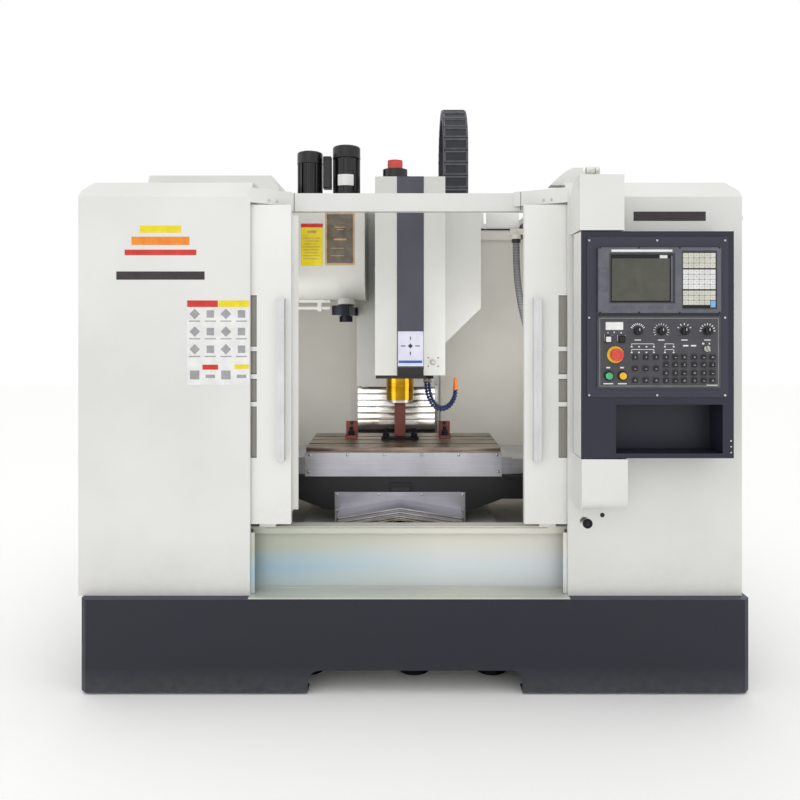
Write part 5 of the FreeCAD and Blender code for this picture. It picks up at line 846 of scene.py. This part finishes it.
print("table and covers modelled")

# roof: gear motors, cable chain

motors = {"y": -214, "ribs": 22, "foot": 1885, "ribDeep": 8}
motorParts = []
for name, x, radius, high in (("small", -468, 50, 2052), ("large", -300, 55, 2078)):
    sleeve = startDisc(name, (x, motors["y"], (motors["foot"] + 14 + high) / 2), radius,
                       high - motors["foot"] - 14, "Z", motors["ribs"] * 2)
    mesh = openMesh(sleeve)
    bpy.ops.mesh.select_mode(type="FACE")
    for face in mesh.faces:
        if abs(face.normal.z) < 0.1:
            angle = math.degrees(math.atan2(face.normal.y, face.normal.x)) % 360
            face.select_set(round(angle / (180 / motors["ribs"])) % 2 == 0)
    bmesh.update_edit_mesh(sleeve.data)
    bpy.ops.mesh.extrude_faces_move(TRANSFORM_OT_shrink_fatten={"value": motors["ribDeep"] * millimetre})
    closeMesh(sleeve)
    motorParts += [
        sleeve, addDisc(name, (x, motors["y"], motors["foot"] + 7), radius + 9, 14, 2, axis="Z", sides=48),
        addDisc(name, (x, motors["y"], high + 28), radius + 8, 56, 9, axis="Z", sides=64,
                sink=(14, 3), facing=upWay, segments=4),
        addDisc(name, (x, motors["y"], high + 4), radius + 9.4, 6, 1.5, axis="Z", sides=64)]
motorParts += [addDisc("eyeBolt", (x + 6, motors["y"], z), 7, 12, 1.2, axis="Z", sides=8, tip=5)
               for x, z in ((-468, 2112), (-300, 2138))]
motorParts.append(addBlock("terminal", (-404, -262, 1936), (-366, -214, 2084), 4, sink=(5, -2)))
gearMotors = finishPiece(joinPieces(motorParts), "changerGearMotors", "motorBlackEnamel", "frame")
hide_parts("gear_motors")
labelRing = startDisc("largeMotorBlankLabel", (-300, motors["y"], 1974), 64.4, 50, "Z", 64)
mesh = openMesh(labelRing)
bpy.ops.mesh.select_mode(type="FACE")
for face in mesh.faces:
    face.select_set(face.normal.y > -0.82)
bmesh.update_edit_mesh(labelRing.data)
bpy.ops.mesh.delete(type="FACE")
closeMesh(labelRing)
applyChange(labelRing, "SOLIDIFY", {"thickness": 0.8 * millimetre})
finishPiece(labelRing, "largeMotorBlankLabel", "markWhite", "frame")

chain = {"left": 151, "right": 262, "front": -174, "crown": 2130, "middle": 68.5, "outer": 242.5,
         "pins": 218, "pitch": 59, "arc": 14}
links = []
for index in range(9):
    low = chain["crown"] - (index + 1) * chain["pitch"] + 3
    links.append(addBlock("chainLink", (chain["left"], chain["front"] - 2, low),
                          (chain["right"], chain["front"] + 4, low + 53), 1.5, sink=(7, 2.4)))
for index in range(13):
    turn = math.radians((index + 0.5) * chain["arc"])
    spot = ((chain["left"] + chain["right"]) / 2, chain["middle"] - (chain["outer"] - 2) * math.cos(turn),
            chain["crown"] + (chain["outer"] - 2) * math.sin(turn))
    bpy.ops.mesh.primitive_cube_add(
        size=1, location=[c * millimetre for c in spot], rotation=(-turn, 0, 0),
        scale=((chain["right"] - chain["left"]) * millimetre, 0.006, 0.053))
    bpy.ops.object.transform_apply()
    link = bpy.context.object
    softenEdges(link, 1.5)
    sinkFace(link, (0, -math.cos(turn), math.sin(turn)), 7, 2.0)
    links.append(link)
finishPiece(joinPieces(links), "chainLinkCovers", "chainNylon", "cable_carrier")
for name, x in (("chainPinsLeft", 149), ("chainPinsRight", 264)):
    pins = [startDisc("pin", (x, chain["middle"] - chain["pins"] * math.cos(math.radians(a)),
                              chain["crown"] + chain["pins"] * math.sin(math.radians(a))), 9, 3, "X", 16)
            for a in range(6, 180, 11)]
    pins += [startDisc("pin", (x, chain["middle"] - chain["pins"], 1604 + 45 * i), 9, 3, "X", 16)
             for i in range(12)]
    pinPiece = joinPieces(pins)
    softenEdges(pinPiece, 0.8, 1)
    finishPiece(pinPiece, name, "chainNylon", "cable_carrier")
print("roof fittings modelled")

# cabinets, doors and plates

fields = {"cabinetFace": -960, "sheetFace": -960.7, "signLeft": -826, "signRight": -600,
          "signLow": 1104, "signHigh": 1411}
for name, x, z, wide, tall, finish in (
        ("accentFieldYellow", -922, 1668, 150, 26, "filmYellow"),
        ("accentFieldOrange", -922, 1626, 210, 30, "filmOrange"),
        ("accentFieldRed", -922, 1584, 260, 20, "filmRed"),
        ("accentFieldDark", -922, 1500, 320, 30, "filmDark"),
        ("rightFieldDark", 923, 1715, 262, 34, "filmDark")):
    addPrint(name, [(x, z, wide, tall)], fields["cabinetFace"], finish, "frame")

addBlock("signSheet", (fields["signLeft"], -960.7, fields["signLow"]),
         (fields["signRight"], -960, fields["signHigh"]), 0.2, "keyFilmWhite", "frame", segments=1)
middle = (fields["signLeft"] + fields["signRight"]) / 2
quarter = (fields["signRight"] - fields["signLeft"]) / 4
for name, header, x, z, wide, tall, finish in (
        ("signRedField", -quarter, -quarter / 2, 1168, quarter, 18, "filmRed"),
        ("signYellowField", quarter, 1.5 * quarter, 1170, quarter - 4, 16, "filmYellow")):
    addPrint(name, [(middle + header, 1398, 2 * quarter - 2, 24), (middle + x, z, wide, tall)],
             fields["sheetFace"], finish, "frame")
greyFields = []
for column in range(4):
    x = fields["signLeft"] + quarter * (column + 0.5)
    for z in (1361, 1297, 1233):
        greyFields += [(x, z, 27, 27, 45 if (column + z) % 2 else 0), (x, z - 26, 40, 4)]
    greyFields.append((x, 1135 if column % 2 else 1140, 34, 32 if column % 2 == 0 else 12))
addPrint("signGreyFields", greyFields, fields["sheetFace"], "markGrey", "frame")

addBlock("magazineYellowPlate", (-490, -365.2, 1578), (-394, -364, 1747), 0.4, "filmYellow",
         "frame")
addBlock("magazineRedBand", (-490, -365.4, 1748), (-394, -364, 1764), 0.4, "filmRed", "frame")
addPrint("magazinePlateLines", [(-442, 1728, 40, 10)] + [
    (-446, 1700 - 13 * i, 76 - 9 * (i % 3), 3.4) for i in range(8)], -365.2, "filmTan", "frame")
addBlock("magazineBronzePlate", (-383, -366, 1581), (-254, -364, 1813), 0.8, "filmTan", "frame")
addBlock("magazineBronzeField", (-375, -366.8, 1589), (-262, -365.8, 1805), 0.5, "filmBronze",
         "frame", sink=(3, 0.3))
addPrint("magazineBronzeLines", [(-318, 1694, 56, 7), (-318, 1748, 44, 4), (-318, 1738, 30, 4),
                                 (-330, 1655, 60, 3), (-330, 1622, 60, 3)], -366.6, "filmTan", "frame")
addScrews("magazineScrews", [(x, -366, z) for x in (-378, -259) for z in (1586, 1808)],
          3, 1.6, "frame")

fascia = [(x, frontOf("lintel", x, 1780), 1780) for x in (-537, -511, 474, 500)]
addScrews("fasciaScrews", fascia, 5, 2.4, "frame")
lintelSeams = []
for x in (-452, 398):
    face = frontOf("lintel", x, 1790)
    lintelSeams.append(addBlock("lintelSeam", (x - 1.2, face - 0.4, 1750), (x + 1.2, face + 2, 1818),
                                0.3, segments=1))
finishPiece(joinPieces(lintelSeams), "lintelSeams", "gasketRubberAndPaintedShadow", "frame")

for body, name, x0, x1 in (("left_door", "left", -560, -924), ("right_door", "right", 508, 872)):
    # rubber gasket round each pane, seen through the four openings
    low, high = min(x0, x1), max(x0, x1)
    for index, (bottom, top) in enumerate(((836, 1023), (1040, 1124), (1141, 1225), (1242, 1429))):
        gasket = startBlock(f"{name}Gasket{index}", (low + 1, -937.4, bottom - 4),
                            (high - 1, -935.8, top + 4))
        mesh = openMesh(gasket)
        for facing in (frontWay, backWay):
            pickFaces(gasket, mesh, facing)
            bpy.ops.mesh.inset(thickness=0.006)
            bpy.ops.mesh.delete(type="FACE")
            bpy.ops.mesh.select_all(action="DESELECT")
        bpy.ops.mesh.select_mode(type="EDGE")
        for edge in mesh.edges:
            edge.select_set(edge.is_boundary)
        bmesh.update_edit_mesh(gasket.data)
        bpy.ops.mesh.bridge_edge_loops()
        closeMesh(gasket)
        finishPiece(gasket, f"{name}Gasket{index}", "gasketRubberAndPaintedShadow", body)

for body, name, x in (("left_door", "left", -486), ("right_door", "right", 444)):
    trim = [addBlock("handleCap", (x - 15, -970, z - 3), (x + 15, -938.5, z + 3), 1.5) for z in (829, 1416)]
    trim.append(addBlock("handleGroove", (x - 1.5, -969.6, 840), (x + 1.5, -968.6, 1405), 0.4))
    finishPiece(joinPieces(trim), name + "HandleTrim", "anodisedAluminium", body)

addPrint("apronRail", [(-29, 571, 1040, 3)], frontOf("apron", -29, 571), "markGrey", "frame")
# the base's up-facing top ledge in the lighter slate enamel: a painted highlight where the light falls on it
dressFaces("base_skirt", "slateEnamelAndLedgeHighlight", (-1300, -1100, 330), (1300, 1100, 345), upWay)
dressFaces("control_box", "cabinetPowderCoat", (548, -1110, 780), (594, -880, 1700), (-1, 0, 0))
dressFaces("control_arms", "nickelPlate", (570, -1075, 615), (610, -1050, 660))
addDisc("armPlug", (640, -1105, 670), 6, 8, 2, "gasketRubberAndPaintedShadow", "frame", sides=24, sink=(2, 1))
addDisc("keyTag", (590, -1105, 640), 17, 5, 1.2, "gasketRubberAndPaintedShadow", "frame", sides=40, sink=(4, -1.5))
addScrews("boxEdgeScrews", [(1083, -1103, z) for z in (924, 904, 884)], 3.4, 2, "control")

# rear: door locks, louvres and a blank plate, and cover screws on the cabinet sides
rear = {"face": 1013, "lockX": 500}
locks = []
for z in (620, 1120, 1620):
    locks += [addDisc("doorLock", (rear["lockX"], rear["face"] + 3, z), 17, 6, 1.5, sides=40,
                      sink=(5, 2), facing=backWay),
              addBlock("doorLock", (rear["lockX"] - 2.5, rear["face"] + 2, z - 9),
                       (rear["lockX"] + 2.5, rear["face"] + 6, z + 9), 0.6)]
finishPiece(joinPieces(locks), "rearDoorLocks", "nickelPlate", "electrical_door")
louvre = startBlock("rearLouvres", (-240, rear["face"] - 1, 560), (120, rear["face"] + 1, 582))
shiftPoints(louvre, lambda spot: spot.y > rear["face"] * millimetre and spot.z < 0.561,
            (0, 0.009, 0.004))
softenEdges(louvre, 0.8)
finishPiece(repeatPiece(louvre, [(0, 0, 30 * i) for i in range(1, 8)]), "rearLouvres",
            "cabinetPowderCoat", "electrical_door")
addBlock("rearBlankPlate", (-180, rear["face"], 1500), (60, rear["face"] + 1.5, 1640), 0.6,
         "nickelPlate", "electrical_door", sink=(6, 0.4), facing=backWay)
for name, x, way in (("leftSide", -1220, -1), ("rightSide", 1185, 1)):
    addBlock(name + "Hatch", (x - 2 if way < 0 else x, -700, 620),
             (x if way < 0 else x + 2, 250, 1560), 0.8, "cabinetPowderCoat", "frame",
             sink=(14, 0.8), facing=(way, 0, 0))
    addScrews(name + "Screws", [(x + 2 * way, y, z) for y in (-693, -225, 243) for z in (627, 1090, 1553)],
              4.5, 2.4, "frame", (way, 0, 0))

# roof beam and closing plates over the right half of the tub's rear wall
wallFace = frontOf("splash_tub", 420, 1690, -700)
addBlock("tubRoofBeam", (276, wallFace - 12, 1741), (553, wallFace + 4, 1794), 2, "tubEnamel",
         "frame", sink=(5, -1.5))
# a black strip along the top of the beam, under the plates: a painted shadow
addBlock("tubRoofShadowStrip", (276, wallFace - 16, 1795), (553, wallFace + 4, 1800), 1, "gasketRubberAndPaintedShadow",
         "frame")
for name, left, right in (("tubRoofPlateLeft", 276, 372), ("tubRoofPlateRight", 384, 553)):
    plate = startBlock(name, (left, wallFace - 6, 1801), (right, wallFace, 1846))
    shiftPoints(plate, lambda spot: spot.z > 1.82, (0, 0.02, 0.038))
    softenEdges(plate, 1.5)
    finishPiece(plate, name, "cabinetPowderCoat", "frame")
# the apron's end returns carry the same sheet with its painted reflection band
for name, left, right in (("apronLeftEnd", -598, -582), ("apronRightEnd", 539, 555)):
    addBlock(name, (left, -952, 346), (right, -949, 566), 0.8, "apronPaintedReflection", "frame")
addBlock("dripRail", (-598, -998, 340), (555, -884, 345), 1, "zincPlatedSheet", "frame",
         sink=(4, 1.5), facing=upWay)
# the apron itself takes the sheet with the painted blue reflection band
nodes["apron"].data.materials[0] = finishes["apronPaintedReflection"]
for name, x, radius, deep, y, z, body in (
        ("cabinetFitting", 1192, 11, 14, -860, 1712, "frame"),
        ("boxSideKnob", 1093, 10, 8, -1075, 1068, "control"),
        ("armGlandBody", 622, 15, 30, -1010, 1868, "frame"),
        ("armGlandNut", 646, 17, 16, -1010, 1868, "frame")):
    addDisc(name, (x, y, z), radius, deep, 1.5, "knobAbs" if body == "control" else "nickelPlate",
            body, axis="X", sides=6 if name == "armGlandNut" else 32)
for name, x, way in (("leftSide", -1220, -1), ("rightSide", 1185, 1)):
    slat = startBlock(name + "Louvres", (min(x, x + 6 * way), -150, 1606), (max(x, x + 6 * way), 150, 1616))
    shiftPoints(slat, lambda spot: abs(spot.x) > (abs(x) + 3) * millimetre and spot.z > 1.61,
                (-0.005 * way, 0, 0))
    softenEdges(slat, 0.8)
    finishPiece(repeatPiece(slat, [(0, 0, 24 * i) for i in range(1, 7)]), name + "Louvres",
                "cabinetPowderCoat", "frame")
print("cabinets and doors modelled")

# loose conduit in the tub

conduit = {"diameter": 0.03, "length": 1.257, "exit": (0.45, -0.414, 1.69), "points": [
    (0.45, -0.414, 1.69), (0.45, -0.414, 1.56), (0.47, -0.41, 1.405), (0.514, -0.408, 1.245),
    (0.58, -0.412, 1.085), (0.66, -0.417, 0.93), (0.745, -0.418, 0.8), (0.778, -0.415, 0.69),
    (0.79, -0.414, 0.59), (0.79, -0.414, 0.502)]}


# Corrugated PVC conduit: rings 7 mm apart, drawn on height because it hangs.
def corrugatedPvc():
    material, tree, shader, place = startMaterial("corrugatedPvc", {
        "Metallic": 0.0, "IOR": 1.53, "Roughness": 0.45})
    rings = addNode(tree, "TexWave", {
        "bands_direction": "Z", "Scale": 46.0, "Distortion": 0.0}, {"Vector": place})
    # the troughs are painted darker and the crests lighter: painted shade in the creases and painted
    # highlight on the ridges
    tone = addNode(tree, "ValToRGB", links={"Fac": rings.outputs["Fac"]}, stops=[
        (0.2, paint("#4d4e51")), (0.7, paint("#87888b"))])
    tree.links.new(tone.outputs["Color"], shader.inputs["Base Color"])
    bump = addNode(tree, "Bump", {"Strength": 0.9, "Distance": 0.002},
                   {"Height": rings.outputs["Fac"]})
    tree.links.new(bump.outputs["Normal"], shader.inputs["Normal"])
    return material


line = bpy.data.curves.new("tubConduit", "CURVE")
line.dimensions = "3D"
line.bevel_depth = conduit["diameter"] / 2
line.bevel_resolution = 6
line.resolution_u = 16
spline = line.splines.new("NURBS")
spline.points.add(len(conduit["points"]) - 1)
for point, spot in zip(spline.points, conduit["points"]):
    point.co = (*spot, 1)
spline.order_u = 3
spline.use_endpoint_u = True
tubConduit = bpy.data.objects.new("tubConduit", line)
bpy.context.scene.collection.objects.link(tubConduit)
line.materials.append(corrugatedPvc())
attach(tubConduit, "frame")
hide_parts("flexible_conduit")
for name, spot in (("conduitTopGland", (450, -414, 1684)), ("conduitFloorGland", (790, -414, 512))):
    addDisc(name, spot, 21, 20, 2, "glassFilledNylon", "frame", axis="Z", sides=6)
print("conduit laid")
